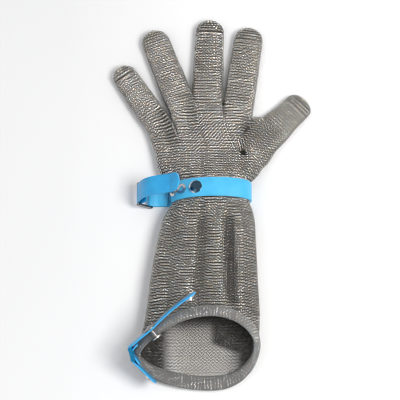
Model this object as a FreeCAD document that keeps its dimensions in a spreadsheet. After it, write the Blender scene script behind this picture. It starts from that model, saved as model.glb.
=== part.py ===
import FreeCAD
import Part
import math
import os
import Sketcher

# A butcher's glove of welded steel rings with a long cuff, laid back up on a bench with its
# fingers spread and its cuff mouth open. One belt closes the wrist and one holds the mouth.
#
# Millimetres. +Z is up and the bench is z = 0. +Y runs towards the fingers and +X towards
# the thumb. The origin is under the middle of the wrist.
#
# Each sheet of ring mesh is one thin shell, split where the glove bends. The two belts are
# moulded plastic bands, each folded over a double-bar steel slide, with steel snap parts.

V = FreeCAD.Vector
UP = V(0, 0, 1)
FINGERS = ("little", "ring", "middle", "index", "thumb")

# Alias, value, meaning.
DIMENSIONS = [
    ("mail_gauge", 2.2, "thickness of one layer of ring mesh"),
    ("finger_height", 13, "finger tube, top to bottom, at its root"),
    ("fingertip_height", 11, "finger tube, top to bottom, before its dome"),
    ("bend_gap", 5.5, "from a finger joint's axis to the shell on each side of it"),
    ("palm_height", 15, "hand pouch, top to bottom"),
    ("palm_round", 6.4, "rounding of the hand pouch's long edges"),
    ("palm_wall", 3.6, "side walls of the pouch, which hold that rounding"),
    ("palm_start", 26, "rear edge of the hand pouch"),
    ("palm_left", -56, "little-finger side of the pouch at its rear edge"),
    ("palm_side_x", -60, "little-finger side of the pouch, half way up"),
    ("palm_side_y", 55, "and how far up that is"),
    ("palm_right", 60, "thumb side of the pouch at its rear edge"),
    ("palm_notch_x", 52, "crotch between thumb and index finger"),
    ("palm_notch_y", 90, "and how far up that is"),
    ("wrist_left", -37, "little-finger side of the wrist, squeezed by its belt"),
    ("wrist_right", 48.5, "thumb side of the wrist"),
    ("wrist_top", 36.5, "bench to the top of the wrist"),
    ("wrist_crest", 10, "highest line of the wrist, across"),
    ("wrist_left_z", 9, "widest point of the wrist on the little-finger side, above the bench"),
    ("wrist_right_z", 18, "and on the thumb side"),
    ("wrist_flare", 10, "where the wrist tube starts to widen into the pouch"),
    ("wrist_seam", 0.2, "gap between the pouch and the wrist tube"),
    ("wrist_seam_crest", 2, "highest line of the wrist tube at that seam, across"),
    ("wrist_rear", -17.5, "rear edge of the wrist tube"),
    ("wrist_bend", -24, "wrist joint"),
    ("cuff_front", -30.5, "front edge of the cuff"),
    ("cuff_front_left", -47, "little-finger side of the cuff at its front edge"),
    ("cuff_front_right", 49, "and its thumb side"),
    ("cuff_front_left_z", 13, "widest point there on the little-finger side, above the bench"),
    ("cuff_front_right_z", 17, "and on the thumb side"),
    ("cuff_middle", -100, "station half way down the cuff"),
    ("cuff_middle_left", -61.5, "little-finger side of the cuff at that station"),
    ("cuff_middle_right", 52, "and its thumb side"),
    ("cuff_middle_left_z", 16, "widest point there on the little-finger side, above the bench"),
    ("cuff_middle_right_z", 18, "and on the thumb side"),
    ("cuff_end", -234, "end of the cuff before it is cut to its sloping mouth"),
    ("cuff_end_left", -78, "little-finger side of the cuff at its end"),
    ("cuff_end_right", 60, "and its thumb side"),
    ("cuff_end_left_z", 19, "widest point there on the little-finger side, above the bench"),
    ("cuff_end_right_z", 20, "and on the thumb side"),
    ("cuff_low", 3.2, "bench to the underside of the cuff"),
    ("cuff_top", 39, "bench to the top of the cuff"),
    ("mouth_top", -146, "upper lip of the mouth"),
    ("mouth_bottom", -226, "lower lip of the mouth"),
    ("hem_width", 4.2, "rolled edge of the mouth, square to the mouth's plane"),
    ("hem_gauge", 2.6, "added thickness of the rolled edge"),
    ("hem_play", 0.3, "gap between the rolled edge and the cuff it wraps"),
    ("strap_width", 22, "wrist belt across"),
    ("cuff_belt_width", 20, "cuff belt across"),
    ("strap_gauge", 1.8, "thickness of both belts"),
    ("strap_station", -4, "middle of the wrist belt"),
    ("strap_slack", 0.6, "gap between the wrist belt and the mesh"),
    ("strap_rivet_x", -11.5, "wrist belt's rivet"),
    ("strap_socket_x", -26.5, "wrist belt's upper snap socket"),
    ("strap_overhang", 8, "from the lower socket's middle to the belt's end"),
    ("bar_radius", 1.2, "bars of the slides"),
    ("bar_play", 0.06, "gap between a bar and the belt's eye"),
    ("slide_plate", 2, "thickness of a slide's end plates"),
    ("slide_lip", 1, "how far the end plates reach past their bars"),
    ("slide_play", 0.4, "gap between a belt's edge and an end plate"),
    ("slide_x", -62.5, "inner bar of the wrist slide"),
    ("slide_pitch", 15, "distance between its two bars"),
    ("slide_tilt", 38, "slope of the wrist slide, in degrees"),
    ("tab_length", 64, "wrist tab, from its bar to its end"),
    ("tab_rest", 44, "slope of the wrist tab as it lies, in degrees"),
    ("tab_round", 9, "corner radius of the belts' ends"),
    ("snap_cap_radius", 7.4, "domed caps of the rivets"),
    ("snap_cap_height", 2.6, "and how high they stand"),
    ("snap_crown_radius", 2, "flat in the middle of a cap"),
    ("snap_rim_share", 0.4, "share of a cap's height that is its upright edge"),
    ("snap_shoulder_share", 0.8, "share of the rest that the rounding climbs by its middle"),
    ("snap_shank_radius", 1.6, "shanks of the rivets"),
    ("snap_hole_play", 0.1, "gap between a shank and its hole"),
    ("snap_seat", 0.05, "gap between a belt's outer face and a part seated on it"),
    ("shank_end", 0.3, "how far the wrist rivet's shank reaches past its washer's inner face"),
    ("washer_radius", 6, "washers inside the glove"),
    ("washer_gauge", 1, "and their thickness"),
    ("washer_seat", 0.35, "gap between the wrist's mesh and its washer"),
    ("socket_radius", 5.8, "snap sockets"),
    ("socket_height", 1.6, "and how high they stand"),
    ("socket_bore", 2.9, "radius of a socket's hole"),
    ("socket_pitch", 12.4, "distance between the two wrist sockets, along the belt"),
    ("stud_radius", 1.8, "snap studs"),
    ("stud_height", 2, "and how far they stand from their flange"),
    ("stud_flange", 0.8, "thickness of a stud's flange"),
    ("stud_seat", 0.02, "gap between a belt and a stud's flange"),
    ("stud_clear", 1.6, "gap between a stud's flange and its socket when shut"),
    ("fold_x", -82, "slide bar at the fold of the cuff belt"),
    ("fold_y", -190.2, "and how far back it is"),
    ("fold_z", 35, "and how high"),
    ("fold_lean", 25, "lean of the cuff belt towards the mouth, in degrees"),
    ("fold_pitch", 11, "distance between the two bars of the cuff slide"),
    ("fold_turn", -75, "way the cuff slide points, in the belt's plane, in degrees"),
    ("long_turn", 39.7, "way the long leg of the cuff belt points, in degrees"),
    ("long_fixed", 38, "from the fold to the end of the riveted part of the long leg"),
    ("long_gap", 2.5, "from the long leg's bend to the belt on each side of it"),
    ("long_length", 93, "from the fold to the long leg's free end"),
    ("long_rivet", 30, "from the fold to the rivet"),
    ("long_rivet_side", -2, "and from the belt's middle line to the rivet"),
    ("long_shank", 12.5, "the rivet's shank: it reaches through the rolled edge"),
    ("long_washer", 0.4, "from the shank's end to its washer's outer face"),
    ("long_stud", 9, "from the long leg's free end to its stud"),
    ("short_turn", -44, "way the short leg of the cuff belt points, in degrees"),
    ("short_length", 37, "from its bar to its end"),
    ("short_socket", 10, "from the short leg's end to its socket"),
]

# Per finger: where its root joint is, its lean from +Y towards -X in degrees, its reach from
# that joint, its second joint, and its widths at the root and before the tip's dome.
FINGER_FIELDS = ("root_x", "root_y", "lean", "reach", "knuckle", "root_width", "tip_width")
FINGER_SIZES = {
    "little": (-64, 98, 32, 62, 28, 30, 26),
    "ring": (-34, 119, 21, 79, 36, 32, 29),
    "middle": (2, 130, -2, 77, 36, 35, 30),
    "index": (40, 128, -7.5, 71, 33, 33, 30),
    "thumb": (65.6, 65.8, -44, 63, 29, 38, 30),
}

OVERRUN = 1.0  # how far a tool passes the face that it opens
SAME = 1e-3  # two lengths or places this close are one
DOME_FLATNESS = 0.6  # power of a dome's height in its width: under 1 keeps it tall
ARC_STEP = 0.02  # degrees, for walking along an ellipse
TRIM_SIZE = 400  # sides of the slabs that cut the mouth
DRILL_START = -10  # the wrist rivet's drill, from the belt's outer face
DRILL_LENGTH = 14
BAND_DRILL_START = -2  # the cuff rivet's drill, from the fold's bar
BAND_DRILL_LENGTH = 10

doc = FreeCAD.newDocument("mail_glove")
sheet = doc.addObject("Spreadsheet::Sheet", "dims")


def fill_sheet():
    """Writes every driving dimension as a plain number with an alias."""
    rows = list(DIMENSIONS)
    for finger in FINGERS:
        for field, value in zip(FINGER_FIELDS, FINGER_SIZES[finger]):
            rows.append((f"{finger}_{field}", value, f"{finger} finger"))
    for row, (alias, value, meaning) in enumerate(rows, start=1):
        sheet.set(f"A{row}", str(value))
        sheet.setAlias(f"A{row}", alias)
        sheet.set(f"B{row}", meaning)
    doc.recompute()


class Size:
    """A length that knows both its value and the spreadsheet expression it comes from."""

    def __init__(self, value, text):
        self.value = float(value)
        self.text = text

    def __add__(self, other):
        other = size_of(other)
        return Size(self.value + other.value, f"({self.text} + {other.text})")

    def __sub__(self, other):
        other = size_of(other)
        return Size(self.value - other.value, f"({self.text} - {other.text})")

    def __mul__(self, other):
        other = size_of(other)
        return Size(self.value * other.value, f"({self.text} * {other.text})")

    def __truediv__(self, other):
        other = size_of(other)
        return Size(self.value / other.value, f"({self.text} / {other.text})")


def size_of(value):
    return value if isinstance(value, Size) else Size(value, f"({value:.6f})")


def dim(alias):
    """A driving dimension as a Size."""
    return Size(sheet.get(alias), f"dims.{alias}")


def num(alias):
    """A driving dimension as a plain number."""
    return float(sheet.get(alias))


def bind(obj, **sizes):
    """Sets each property and binds it to the spreadsheet."""
    for name, size in sizes.items():
        size = size_of(size)
        setattr(obj, name, size.value)
        obj.setExpression(name, size.text)
    return obj


# --- Part workbench helpers: lofted shells -------------------------------------------------

UPRIGHT = FreeCAD.Rotation(V(1, 0, 0), 90)  # an ellipse then stands across the Y axis


def ellipse(name, width, height, base, turn=UPRIGHT):
    """One section of a loft, width across and height up, both Sizes."""
    section = doc.addObject("Part::Ellipse", name)
    bind(section, MajorRadius=width / 2)
    bind(section, MinorRadius=height / 2)
    section.Placement = FreeCAD.Placement(base, turn)
    return section


def loft(name, sections, ruled=True):
    body = doc.addObject("Part::Loft", name)
    body.Sections = sections
    body.Solid = True
    body.Ruled = ruled
    return body


def cut(name, base, tool):
    body = doc.addObject("Part::Cut", name)
    body.Base = base
    body.Tool = tool
    return body


def common(name, base, tool):
    body = doc.addObject("Part::Common", name)
    body.Base = base
    body.Tool = tool
    return body


def fuse(name, shapes):
    body = doc.addObject("Part::MultiFuse", name)
    body.Shapes = shapes
    return body


def cylinder(name, radius, height, base, turn=FreeCAD.Rotation()):
    body = doc.addObject("Part::Cylinder", name)
    bind(body, Radius=radius, Height=height)
    body.Placement = FreeCAD.Placement(base, turn)
    return body


# --- Fingers ----------------------------------------------------------------------------------

DOME_ANGLES = (0, 30, 55, 72, 83)  # stations of a fingertip's dome, in degrees


def finger_axes(finger):
    """Root point on the bench, unit direction, and unit vector to the right, in the bench plane."""
    lean = math.radians(num(f"{finger}_lean"))
    root = V(num(f"{finger}_root_x"), num(f"{finger}_root_y"), 0)
    along = V(-math.sin(lean), math.cos(lean), 0)
    across = V(math.cos(lean), math.sin(lean), 0)
    return root, along, across


def finger_sections(name, finger, start, end, closed, inset, overrun):
    """Ellipses down a finger from start to end. inset thins them, overrun opens the start."""
    root_width = dim(f"{finger}_root_width")
    tip_width = dim(f"{finger}_tip_width")
    reach = dim(f"{finger}_reach")
    tall = dim("finger_height")
    fall = dim("fingertip_height") - tall

    def size_at(station, share):
        width = root_width + (tip_width - root_width) * (station / reach)
        height = tall + fall * (station / reach)
        return (width - inset * 2) * share, (height - inset * 2) * share**DOME_FLATNESS

    stations = [(start - overrun, 1.0)]
    if closed:
        dome = tip_width / 2
        for angle in DOME_ANGLES:
            reached = math.sin(math.radians(angle))
            stations.append((end - inset - dome + dome * reached, math.cos(math.radians(angle))))
    else:
        stations.append((end + overrun, 1.0))
    sections = []
    for index, (station, share) in enumerate(stations):
        width, height = size_at(station, share)
        base = V(0, 0, station.value)
        section = ellipse(f"{name}_{index}", width, height, base, FreeCAD.Rotation())
        section.setExpression("Placement.Base.z", station.text)
        sections.append(section)
    return sections


def finger_shell(finger, part, start, end, closed):
    """A flattened tube of mesh along a finger, open at its root and perhaps domed at its tip."""
    name = f"{finger}_{part}"
    none = size_of(0)
    outside = finger_sections(f"{name}_o", finger, start, end, closed, none, none)
    overrun = size_of(OVERRUN)
    inside = finger_sections(f"{name}_i", finger, start, end, closed, dim("mail_gauge"), overrun)
    outer = loft(f"{name}_outer", outside)
    inner = loft(f"{name}_inner", inside)
    shell = cut(f"{name}_shell", outer, inner)
    shell.Label = f"{name}_mail"
    root, along, across = finger_axes(finger)
    turn = FreeCAD.Rotation(across * -1, UP, along, "ZXY")
    shell.Placement = FreeCAD.Placement(root + UP * (num("finger_height") / 2), turn)
    return shell


def build_fingers():
    gap = dim("bend_gap")
    shells = []
    for finger in FINGERS:
        knuckle = dim(f"{finger}_knuckle")
        shells.append(finger_shell(finger, "root", gap, knuckle - gap, False))
        shells.append(finger_shell(finger, "tip", knuckle + gap, dim(f"{finger}_reach"), True))
    return shells


# --- Hand pouch and wrist -----------------------------------------------------------------------


def root_line(finger):
    """Left and right ends of the pouch's edge that faces a finger."""
    root, along, across = finger_axes(finger)
    middle = root - along * num("bend_gap")
    half = num(f"{finger}_root_width") / 2
    return middle - across * half, middle + across * half


def palm_outline():
    """The pouch's plan, clockwise from its rear left corner."""
    start = num("palm_start")
    points = [V(num("palm_left"), start, 0), V(num("palm_side_x"), num("palm_side_y"), 0)]
    for finger in ("little", "ring", "middle", "index"):
        points += root_line(finger)
    points.append(V(num("palm_notch_x"), num("palm_notch_y"), 0))
    points += root_line("thumb")
    points.append(V(num("palm_right"), start, 0))
    return points


def outline_object(name, points):
    wire = doc.addObject("Part::Feature", name)
    wire.Shape = Part.makePolygon(points + points[:1])
    return wire


def extrude(name, base, height, lift):
    body = doc.addObject("Part::Extrusion", name)
    body.Base = base
    body.DirMode = "Custom"
    body.Dir = UP
    body.Solid = True
    bind(body, LengthFwd=height)
    body.Placement.Base = V(0, 0, lift.value)
    body.setExpression("Placement.Base.z", lift.text)
    return body


def same_line(ends, line):
    """Whether two ends are the ends of a line, either way round."""
    forward = (ends[0] - line[0]).Length + (ends[1] - line[1]).Length
    backward = (ends[0] - line[1]).Length + (ends[1] - line[0]).Length
    return min(forward, backward) < SAME


def round_pouch(slab):
    """The slab with its long upper and lower edges rounded, apart from those at its mouths."""
    rounded = doc.addObject("Part::Fillet", "palm_rounded")
    rounded.Base = slab
    radius = num("palm_round")
    corners = palm_outline()
    mouths = [root_line(finger) for finger in FINGERS]
    mouths.append((corners[-1], corners[0]))
    edges = []
    for number, edge in enumerate(slab.Shape.Edges, start=1):
        ends = [V(v.X, v.Y, 0) for v in edge.Vertexes]
        upright = (ends[0] - ends[1]).Length < SAME
        at_mouth = any(same_line(ends, mouth) for mouth in mouths)
        if not upright and not at_mouth and edge.Length > 2 * radius:
            edges.append((number, radius, radius))
    rounded.Edges = edges
    return rounded


def palm_ways(room, wall):
    """Boxes that open the pouch's wall at the wrist and at every finger."""
    left, right = dim("palm_left"), dim("palm_right")
    middle = V((left.value + right.value) / 2, num("palm_start"), 0)
    ways = [way_out("wrist", middle, V(0, -1, 0), V(1, 0, 0), right - left - wall * 2, room)]
    for finger in FINGERS:
        root, along, across = finger_axes(finger)
        edge = root - along * num("bend_gap")
        width = dim(f"{finger}_root_width") - wall * 2
        ways.append(way_out(finger, edge, along, across, width, room))
    return ways


def build_palm():
    """A flat pouch whose long edges are round, hollow, and open at the wrist and every finger."""
    outline = outline_object("palm_plan", palm_outline())
    slab = extrude("palm_slab", outline, dim("palm_height"), size_of(0))
    doc.recompute()
    wall = dim("palm_wall")
    room = dim("palm_height") - dim("mail_gauge") * 2
    inside = doc.addObject("Part::Offset2D", "palm_inside")
    inside.Source = outline
    inside.Value = -wall.value
    inside.setExpression("Value", f"0 - {wall.text}")
    hollow = extrude("palm_hollow", inside, room, dim("mail_gauge"))
    openings = fuse("palm_openings", [hollow] + palm_ways(room, wall))
    shell = cut("palm_shell", round_pouch(slab), openings)
    shell.Label = "palm_mail"
    return shell


def way_out(name, edge_middle, outward, across, width, room):
    """A box that opens the pouch's wall at one of its mouths."""
    box = doc.addObject("Part::Box", f"way_{name}")
    depth = dim("bend_gap") * 2
    bind(box, Length=width, Width=depth, Height=room)
    corner = edge_middle - across * (width.value / 2) - outward * (depth.value - OVERRUN)
    turn = FreeCAD.Rotation(across, outward, UP, "ZXY")
    if turn.multVec(V(0, 1, 0)).dot(outward) < 0:
        corner = edge_middle - across * (width.value / 2) + outward * OVERRUN
    box.Placement = FreeCAD.Placement(corner + UP * num("mail_gauge"), turn)
    return box


def egg_arcs(section, grow=0.0, quarters=(0, 1, 2, 3)):
    """An oval of four quarter ellipses round (left, right, low, top, crest x, left z, right z).
    Quarter 0 is the upper right one and they run anticlockwise."""
    left, right, low, top, crest, left_z, right_z = section
    arcs = []
    for quarter in quarters:
        on_left = quarter in (1, 2)
        on_top = quarter in (0, 1)
        side_z = left_z if on_left else right_z
        wide = (crest - left if on_left else right - crest) + grow
        tall = (top - side_z if on_top else side_z - low) + grow
        whole = Part.Ellipse(V(crest, side_z, 0), wide, tall)
        start = math.radians(90 * quarter)
        arcs.append(Part.ArcOfEllipse(whole, start, start + math.pi / 2))
    return arcs


def tube(name, stations, inset, overrun):
    """A loft through (y, section) stations, thinned by inset."""
    sections = []
    for index, (y, section) in enumerate(stations):
        if index == 0:
            y += overrun
        if index == len(stations) - 1:
            y -= overrun
        sketch = doc.addObject("Sketcher::SketchObject", f"{name}_{index}")
        sketch.Placement = FreeCAD.Placement(V(0, y, 0), UPRIGHT)
        sketch.addGeometry(egg_arcs(section, -inset))
        sections.append(sketch)
    return loft(name, sections)


def wrist_low():
    """Bench to the underside of the wrist: its belt runs beneath it."""
    return num("strap_gauge") + num("strap_slack")


def wrist_section():
    return (
        num("wrist_left"),
        num("wrist_right"),
        wrist_low(),
        num("wrist_top"),
        num("wrist_crest"),
        num("wrist_left_z"),
        num("wrist_right_z"),
    )


def build_wrist():
    height, crest = num("palm_height"), num("wrist_seam_crest")
    palm_end = (num("palm_left"), num("palm_right"), 0, height, crest, height / 2, height / 2)
    stations = [
        (num("palm_start") - num("wrist_seam"), palm_end),
        (num("wrist_flare"), wrist_section()),
        (num("wrist_rear"), wrist_section()),
    ]
    outer = tube("wrist_outer", stations, 0, 0)
    inner = tube("wrist_inner", stations, num("mail_gauge"), OVERRUN)
    shell = cut("wrist_shell", cut("wrist_tube", outer, inner), rivet_drill("wrist_rivet_hole"))
    shell.Label = "wrist_mail"
    return shell


# --- Cuff -----------------------------------------------------------------------------------------


def cuff_stations():
    """Front edge, middle and uncut end of the cuff."""
    stations = []
    for name, top in (("front", "wrist_top"), ("middle", "cuff_top"), ("end", "cuff_top")):
        place = f"cuff_{name}"
        wide = (num(f"{place}_left"), num(f"{place}_right"))
        tall = (num("cuff_low"), num(top), num("wrist_crest"))
        sides = (num(f"{place}_left_z"), num(f"{place}_right_z"))
        stations.append((num(place), wide + tall + sides))
    return stations


def mouth_slab(name, inward, thickness):
    """A wide slab parallel to the mouth's plane, starting that far inside it."""
    lower = V(0, num("mouth_bottom"), num("cuff_low"))
    slope = math.degrees(
        math.atan2(num("cuff_top") - num("cuff_low"), num("mouth_top") - num("mouth_bottom"))
    )
    turn = FreeCAD.Rotation(V(1, 0, 0), slope)
    slab = doc.addObject("Part::Box", name)
    bind(slab, Length=TRIM_SIZE, Width=TRIM_SIZE, Height=thickness)
    corner = lower + turn.multVec(V(-TRIM_SIZE / 2, -TRIM_SIZE / 2, -size_of(inward).value))
    slab.Placement = FreeCAD.Placement(corner, turn)
    return slab


def build_cuff():
    stations = cuff_stations()
    play = num("hem_play")
    outer = tube("cuff_outer", stations, 0, 0)
    inner = tube("cuff_inner", stations, num("mail_gauge"), OVERRUN)
    beyond = mouth_slab("cuff_trim", 0, TRIM_SIZE)
    shell = cut("cuff_shell", cut("cuff_tube", outer, inner), beyond)
    shell.Label = "cuff_mail"

    hem_in = tube("hem_inner", stations, -play, OVERRUN)
    hem_out = tube("hem_outer", stations, -play - num("hem_gauge"), 0)
    width = dim("hem_width")
    lip = mouth_slab("hem_trim", width, width)
    hem = common("hem_shell", cut("hem_band", hem_out, hem_in), lip)
    hem.Label = "cuff_hem"
    return [shell, hem]


# --- PartDesign helpers: belts and snap parts ---------------------------------------------------------


def new_body(label):
    body = doc.addObject("PartDesign::Body", label)
    body.Label = label
    return body


def sketch_on(body, name, role, curves, offset=0.0):
    """A sketch on one of the body's own origin planes, holding the given curves."""
    sketch = body.newObject("Sketcher::SketchObject", name)
    plane = next(o for o in body.Origin.OriginFeatures if o.Role == role)
    sketch.AttachmentSupport = [(plane, "")]
    sketch.MapMode = "FlatFace"
    sketch.AttachmentOffset = FreeCAD.Placement(V(0, 0, offset), FreeCAD.Rotation())
    sketch.addGeometry(curves)
    return sketch


def circle_sketch(body, name, role, radii):
    """Concentric circles at the origin, each radius bound to the spreadsheet."""
    sketch = sketch_on(body, name, role, [])
    for radius in radii:
        number = sketch.addGeometry(Part.Circle(V(0, 0, 0), UP, radius.value))
        sketch.addConstraint(Sketcher.Constraint("Coincident", number, 3, -1, 1))
        row = sketch.addConstraint(Sketcher.Constraint("Radius", number, radius.value))
        sketch.setExpression(f"Constraints[{row}]", radius.text)
    return sketch


def box_sketch(body, name, role, x0, x1, y0, y1):
    """A rectangle whose four sides are bound to the spreadsheet, each side a Size."""
    corners = [(x0, y0), (x1, y0), (x1, y1), (x0, y1)]
    points = [V(x.value, y.value, 0) for x, y in corners]
    sketch = sketch_on(body, name, role, closed_lines(points))
    for number in range(4):
        sketch.addConstraint(Sketcher.Constraint("Coincident", number, 2, (number + 1) % 4, 1))
    for number, (x, y) in enumerate(corners):
        if number in (0, 2):
            for kind, size in (("DistanceX", x), ("DistanceY", y)):
                row = sketch.addConstraint(Sketcher.Constraint(kind, -1, 1, number, 1, size.value))
                sketch.setExpression(f"Constraints[{row}]", size.text)
    sketch.addConstraint([Sketcher.Constraint("Horizontal", 0), Sketcher.Constraint("Horizontal", 2)])
    sketch.addConstraint([Sketcher.Constraint("Vertical", 1), Sketcher.Constraint("Vertical", 3)])
    return sketch


def closed_lines(points):
    return [Part.LineSegment(a, b) for a, b in zip(points, points[1:] + points[:1])]


def pad(body, sketch, length, both_ways=False):
    feature = body.newObject("PartDesign::Pad", f"{sketch.Name}_pad")
    feature.Profile = sketch
    bind(feature, Length=length)
    feature.SideType = "Symmetric" if both_ways else "One side"
    return feature


def round_end(body, feature, reach):
    """Rounds the two corners of a strap's end, which lies furthest along local X."""
    doc.recompute()
    names = []
    for number, edge in enumerate(feature.Shape.Edges, start=1):
        at_end = all(abs(v.X - reach.value) < SAME for v in edge.Vertexes)
        if at_end and abs(edge.Length - num("strap_gauge")) < SAME:
            names.append(f"Edge{number}")
    fillet = body.newObject("PartDesign::Fillet", f"{body.Name}_end")
    fillet.Base = (feature, names)
    bind(fillet, Radius=dim("tab_round"))
    body.Tip = fillet
    return fillet


def eye_radii():
    """Outer and inner radius of a belt's eye round a slide's bar."""
    bore = dim("bar_radius") + dim("bar_play")
    return bore + dim("strap_gauge"), bore


def belt_end(label, width, length):
    """A straight belt end: an eye about local Y at the origin, and a band along local +X
    that leaves the eye's local +Z side."""
    body = new_body(label)
    outer, bore = eye_radii()
    band = box_sketch(body, f"{label}_band", "XZ_Plane", size_of(0), length, bore, outer)
    pad(body, band, width, True)
    pad(body, circle_sketch(body, f"{label}_eye", "XZ_Plane", (outer, bore)), width, True)
    round_end(body, body.Tip, length)
    return body


def slide(label, width, pitch):
    """A double-bar slide: bars along local Y at x = 0 and x = pitch, in two end plates."""
    body = new_body(label)
    inside = width / 2 + dim("slide_play")
    outside = inside + dim("slide_plate")
    for number, x in enumerate((0.0, pitch.value)):
        circle = [Part.Circle(V(x, 0, 0), UP, num("bar_radius"))]
        bar = sketch_on(body, f"{label}_bar_{number}", "XZ_Plane", circle)
        pad(body, bar, outside * 2, True)
    reach = dim("bar_radius") + dim("slide_lip")
    for number, (near, far) in enumerate(((inside, outside), (outside * -1, inside * -1))):
        plate = box_sketch(
            body, f"{label}_plate_{number}", "XY_Plane", reach * -1, pitch + reach, near, far
        )
        pad(body, plate, reach * 2, True)
    return body


def rivet(label, shank_length):
    """A cap with a rounded edge and a flat crown on local z = 0, and a shank below it."""
    body = new_body(label)
    radius, tall, shank = num("snap_cap_radius"), num("snap_cap_height"), num("snap_shank_radius")
    crown = num("snap_crown_radius")
    rim = tall * num("snap_rim_share")
    foot, top = V(0, -shank_length, 0), V(0, tall, 0)
    shoulder = V((radius + crown) / 2, rim + (tall - rim) * num("snap_shoulder_share"), 0)
    outline = [
        Part.LineSegment(top, foot),
        Part.LineSegment(foot, V(shank, -shank_length, 0)),
        Part.LineSegment(V(shank, -shank_length, 0), V(shank, 0, 0)),
        Part.LineSegment(V(shank, 0, 0), V(radius, 0, 0)),
        Part.LineSegment(V(radius, 0, 0), V(radius, rim, 0)),
        Part.Arc(V(radius, rim, 0), shoulder, V(crown, tall, 0)),
        Part.LineSegment(V(crown, tall, 0), top),
    ]
    sketch = sketch_on(body, f"{label}_section", "XZ_Plane", outline)
    turned = body.newObject("PartDesign::Revolution", f"{label}_turned")
    turned.Profile = sketch
    turned.ReferenceAxis = (sketch, ["V_Axis"])
    turned.Angle = 360
    return body


def ring_body(label, outer, bore, height):
    """A flat ring standing on local z = 0."""
    body = new_body(label)
    pad(body, circle_sketch(body, f"{label}_ring", "XY_Plane", (outer, bore)), height)
    return body


def stud(label):
    """A flange on local z = 0 with the stud standing on it."""
    body = new_body(label)
    flange = dim("stud_flange")
    disc = circle_sketch(body, f"{label}_flange", "XY_Plane", (dim("socket_radius"),))
    pad(body, disc, flange)
    post = circle_sketch(body, f"{label}_post", "XY_Plane", (dim("stud_radius"),))
    pad(body, post, flange + dim("stud_height"))
    return body


# --- Wrist belt ---------------------------------------------------------------------------------------


def belt_grow(outer):
    """How far the wrist belt's outer or inner face stands outside the mesh."""
    return num("strap_slack") + (num("strap_gauge") if outer else 0)


def belt_place(angle, outward=0.0):
    """Point that far outside the belt's outer face, at an angle of its upper left quarter
    ellipse, and the rotation whose local X runs up the belt and local Z out of it."""
    grow = belt_grow(True)
    wide = num("wrist_crest") - num("wrist_left") + grow
    tall = num("wrist_top") - num("wrist_left_z") + grow
    a = math.radians(angle)
    point = V(
        num("wrist_crest") + wide * math.cos(a),
        num("strap_station"),
        num("wrist_left_z") + tall * math.sin(a),
    )
    slope = math.degrees(math.atan2(-tall * math.cos(a), wide * math.sin(a)))
    turn = FreeCAD.Rotation(V(0, 1, 0), -slope)
    return point + turn.multVec(V(0, 0, outward)), turn


def angle_at(x):
    """Angle of the upper left quarter ellipse where the belt's outer face has this x."""
    wide = num("wrist_crest") - num("wrist_left") + belt_grow(True)
    return math.degrees(math.acos((x - num("wrist_crest")) / wide))


def angle_below(angle, distance):
    """Angle that far down the belt's outer face, towards its left end."""
    here = belt_place(angle)[0]
    while distance > 0:
        angle += ARC_STEP
        there = belt_place(angle)[0]
        distance -= (there - here).Length
        here = there
    return angle


def rivet_drill(name):
    """Clearance hole of the wrist rivet, through the belt and the mesh below it."""
    point, turn = belt_place(angle_at(num("strap_rivet_x")), DRILL_START)
    radius = dim("snap_shank_radius") + dim("snap_hole_play")
    return cylinder(name, radius, DRILL_LENGTH, point, turn)


def eye_height():
    """Height of an eye's middle when its belt lies on the bench."""
    return eye_radii()[0].value


def wrist_hinge():
    """Outer bar of the tilted wrist slide."""
    tilt = math.radians(180 - num("slide_tilt"))
    reach = V(math.cos(tilt), 0, math.sin(tilt)) * num("slide_pitch")
    return V(num("slide_x"), num("strap_station"), eye_height()) + reach


def build_wrist_loop(end):
    """The belt's loop, from its upper left end over the wrist, under it and out to the slide."""
    section = wrist_section()
    outer = egg_arcs(section, belt_grow(True), (3, 0, 1))
    inner = egg_arcs(section, belt_grow(False), (3, 0, 1))
    for arcs in (outer, inner):
        arcs[2] = Part.ArcOfEllipse(arcs[2].Ellipse, math.pi / 2, math.radians(end))
    gauge = num("strap_gauge")
    bar_x = num("slide_x")
    low = outer[0].StartPoint
    high = inner[0].StartPoint
    lines = [
        Part.LineSegment(outer[2].EndPoint, inner[2].EndPoint),
        Part.LineSegment(high, V(bar_x, gauge, 0)),
        Part.LineSegment(V(bar_x, gauge, 0), V(bar_x, 0, 0)),
        Part.LineSegment(V(bar_x, 0, 0), low),
    ]
    body = new_body("wrist_belt")
    width = dim("strap_width")
    loop = sketch_on(body, "wrist_belt_loop", "XZ_Plane", outer + inner + lines)
    pad(body, loop, width, True)
    circles = [Part.Circle(V(bar_x, eye_height(), 0), UP, radius.value) for radius in eye_radii()]
    eye = sketch_on(body, "wrist_belt_eye", "XZ_Plane", circles)
    pad(body, eye, width, True)
    body.Placement.Base = V(0, num("strap_station"), 0)
    strap = cut("wrist_belt_drilled", body, rivet_drill("belt_rivet_hole"))
    strap.Label = "wrist_strap"
    return strap


def build_wrist_tab(hinge, socket_angle):
    """The tab that swings on the slide's outer bar, and its stud, which meets the upper socket
    when the tab is shut."""
    stand = num("socket_height") + num("stud_clear") + num("stud_flange")
    meet = belt_place(socket_angle, stand)[0] - hinge
    under = eye_radii()[1].value
    shut = math.degrees(math.atan2(meet.z, meet.x) - math.asin(under / meet.Length))
    reach = math.sqrt(meet.Length**2 - under**2)
    print("wrist tab swings", round(shut - num("tab_rest"), 2), "degrees; stud at", round(reach, 2))
    rest = FreeCAD.Rotation(V(0, 1, 0), -num("tab_rest"))
    tab = belt_end("wrist_strap_tab", dim("strap_width"), dim("tab_length"))
    tab.Placement = FreeCAD.Placement(hinge, rest)
    tab_stud = stud("tab_stud")
    foot = hinge + rest.multVec(V(reach, 0, under - num("stud_seat")))
    flip = FreeCAD.Rotation(V(1, 0, 0), 180)
    tab_stud.Placement = FreeCAD.Placement(foot, rest.multiply(flip))
    return [tab, tab_stud]


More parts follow.
